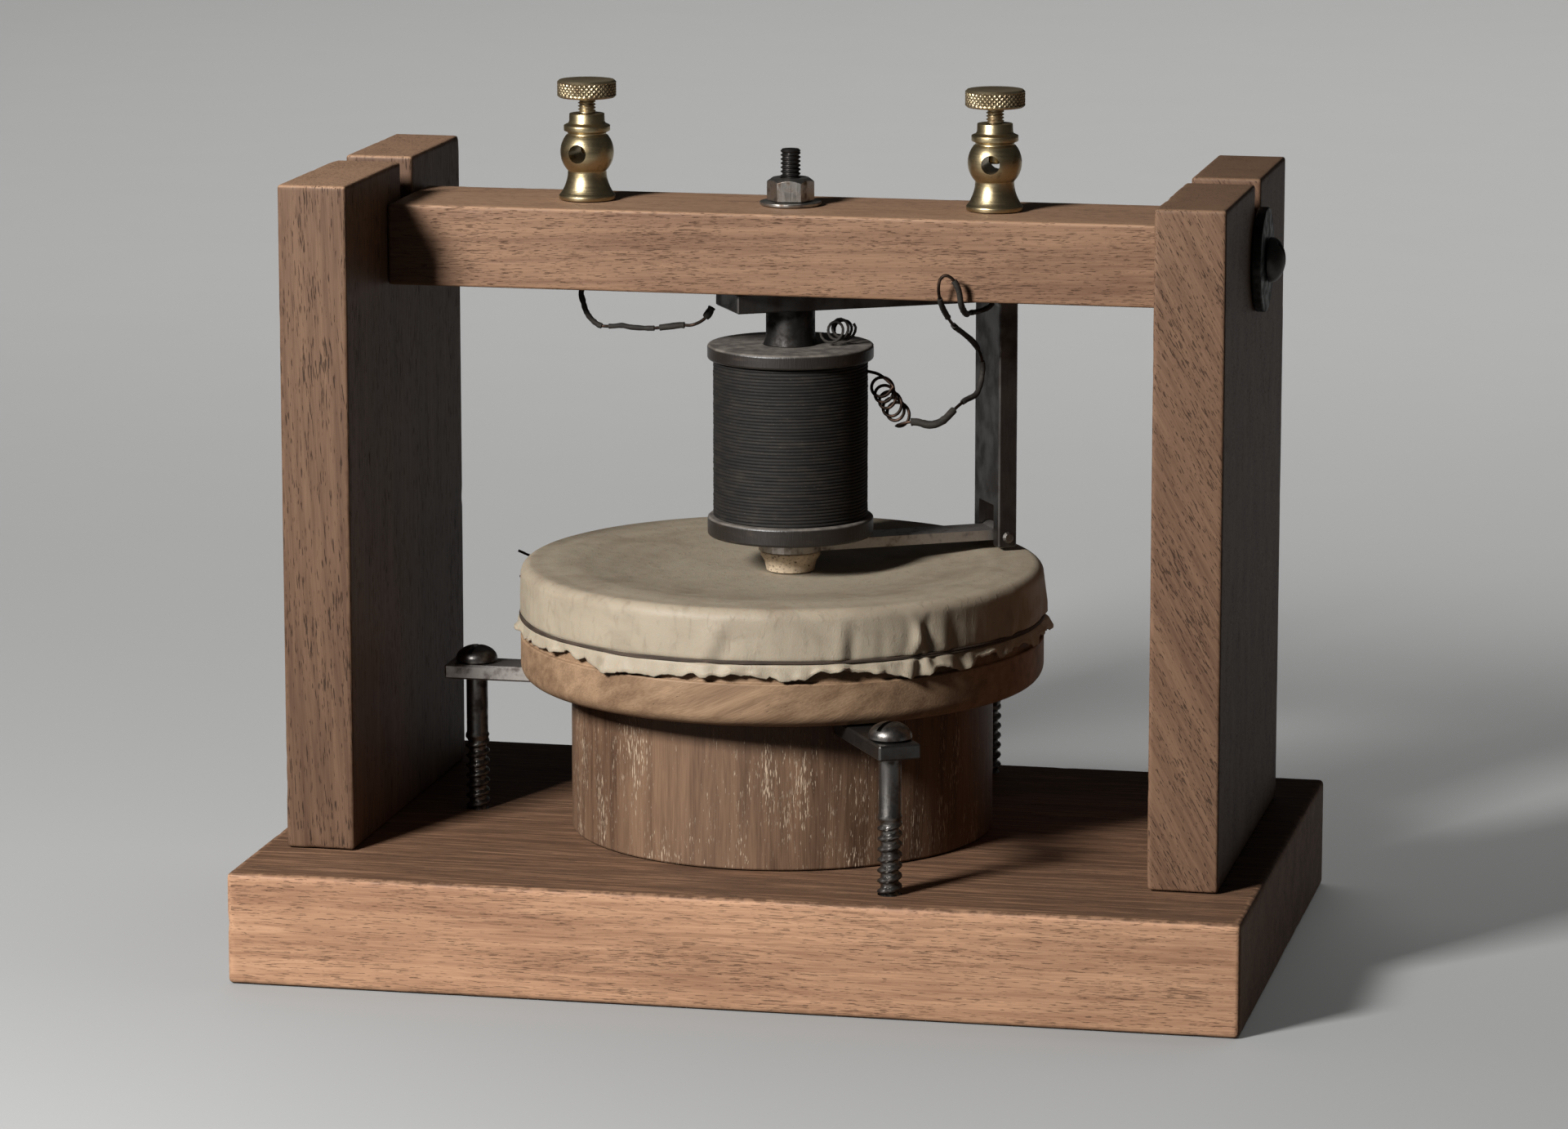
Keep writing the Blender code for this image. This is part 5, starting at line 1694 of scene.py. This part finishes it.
    def right_lead(self) -> None:
        """From the right terminal, round the crossbar's face, to the loops by the winding."""
        points = smooth_route(self.metres(self.right_route), 0.6 * MM)
        magnet = middle_of("coil_winding")
        radius = sized("coil_winding")[2]
        loops = self.helix(self.curl_route, self.loop_radius, self.loop_turns)
        end = Vector((magnet.x + radius - GAP, magnet.y + 2 * MM, self.coil_end))
        last = (loops[-1] + end) / 2 + Vector((0, 0, 1 * MM))
        curl = [tuple(point) for point in loops[3:] + [last, end]]
        whole = smooth_route(self.metres(self.right_route) + curl, 0.6 * MM)
        made = wire("right_lead_wire", whole, self.bare_radius)
        finished(made, self.finishes.copper, Body.CARRIAGE, "silk_wound_wire", "right_lead", "coil_lead_curl")
        spans = ((0.02, 0.09, 0.9), (0.14, 0.27, 1.05), (0.36, 0.44, 1.0))
        spans += ((0.5, 0.68, 1.0), (0.72, 0.85, 1.0), (0.88, 0.99, 1.35))
        sleeves = self.covers("right_lead_cover", points, spans)
        self.laid(made, whole)

    def tail(self) -> None:
        """The winding's other end, curled between the top flange and the yoke."""
        loops = self.helix(self.tail_route, self.tail_radius, self.tail_turns)
        made = wire("tail_wire", loops, self.tail_wire)
        finished(made, self.finishes.lead, Body.CARRIAGE, "silk_wound_wire", "coil_tail_curl")
        self.laid(made, loops)


@dataclass
class Studio:
    """Paper floor, soft lights and the camera."""

    azimuth: float = 12.03
    elevation: float = 10.85
    aim: Point = (0.004, -0.031, 0.112)
    distance: float = 1.688
    lens: float = 140.76
    key_at: Point = (-0.47, -0.81, 0.63)
    key_size: float = 0.20
    key_power: float = 23.0
    paper_power: float = 64.0
    sky_power: float = 0.028
    paper_light_at: Point = (0.2, 2.2, 1.6)
    paper_light_size: float = 4.0
    paper_size: float = 20.0

    def build(self) -> None:
        """Sets up the whole studio."""
        self.camera()
        self.paper()
        self.lights()
        bpy.context.scene.view_settings.view_transform = "Standard"

    def camera(self) -> None:
        """The camera, aimed from in front, a little to the right and above."""
        a, e = math.radians(self.azimuth), math.radians(self.elevation)
        back = Vector((math.sin(a) * math.cos(e), -math.cos(a) * math.cos(e), math.sin(e)))
        data = bpy.data.cameras.new("camera")
        data.lens = self.lens
        data.sensor_width = 36.0
        data.clip_start, data.clip_end = 0.05, 100.0
        made = bpy.data.objects.new("camera", data)
        made.location = Vector(self.aim) + back * self.distance
        made.rotation_euler = (-back).to_track_quat("-Z", "Y").to_euler()
        bpy.context.scene.collection.objects.link(made)
        bpy.context.scene.camera = made

    def paper(self) -> None:
        """A wide sheet of pale paper under everything."""
        shape = bmesh.new()
        bmesh.ops.create_grid(shape, x_segments=8, y_segments=8, size=self.paper_size)
        floor = place_mesh("paper_floor", shape)
        floor.location.z = -0.05 * MM
        floor.data.materials.append(Paper("pale_paper").material())
        floor.visible_diffuse = False
        self.floor = floor

    def area_light(self, name: str, place: Point, aim: Point, size: float, power: float) -> Piece:
        """A square soft light.

        Args:
            name: Its name.
            place: Where it hangs.
            aim: The point that it faces.
            size: The length of its side.
            power: Its power in watts.

        Returns:
            The light.
        """
        data = bpy.data.lights.new(name, "AREA")
        data.shape = "SQUARE"
        data.size = size
        data.energy = power
        lamp = bpy.data.objects.new(name, data)
        lamp.location = place
        lamp.rotation_euler = (Vector(aim) - Vector(place)).to_track_quat("-Z", "Y").to_euler()
        bpy.context.scene.collection.objects.link(lamp)
        return lamp

    def lights(self) -> None:
        """A key light from the front left, a wide light for the paper alone, and a faint sky."""
        self.area_light("key_light", self.key_at, (0, 0, 0.11), self.key_size, self.key_power)
        below = (*self.paper_light_at[:2], 0)
        wide = self.area_light(
            "paper_light", self.paper_light_at, below, self.paper_light_size, self.paper_power
        )
        lit = bpy.data.collections.new("lit_by_paper_light")
        lit.objects.link(self.floor)
        wide.light_linking.receiver_collection = lit
        world = bpy.data.worlds.new("studio")
        world.use_nodes = True
        sky = world.node_tree.nodes["Background"].inputs
        sky["Color"].default_value = (1, 1, 1, 1)
        sky["Strength"].default_value = self.sky_power
        bpy.context.scene.world = world


def main() -> None:
    """Builds the studio and the instrument."""
    logging.basicConfig(level=logging.INFO, format="%(name)s: %(message)s")
    Studio().build()
    skin_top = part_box("membrane")[1].z
    drum_axis = middle_of("sound_cylinder")
    finishes = Finishes((drum_axis.x, drum_axis.y, skin_top))
    Wiring(finishes).build()
    GallowsFrame(finishes).build()
    for side in Side:
        Clamp(finishes, side).build()
        BindingPost(finishes, side, LEFT_TERMINAL_TURN if side is Side.LEFT else 0.0).build()
    Drum(finishes).build()
    Electromagnet(finishes).build()
    Armature(finishes).build()


if __name__ == "__main__":
    main()
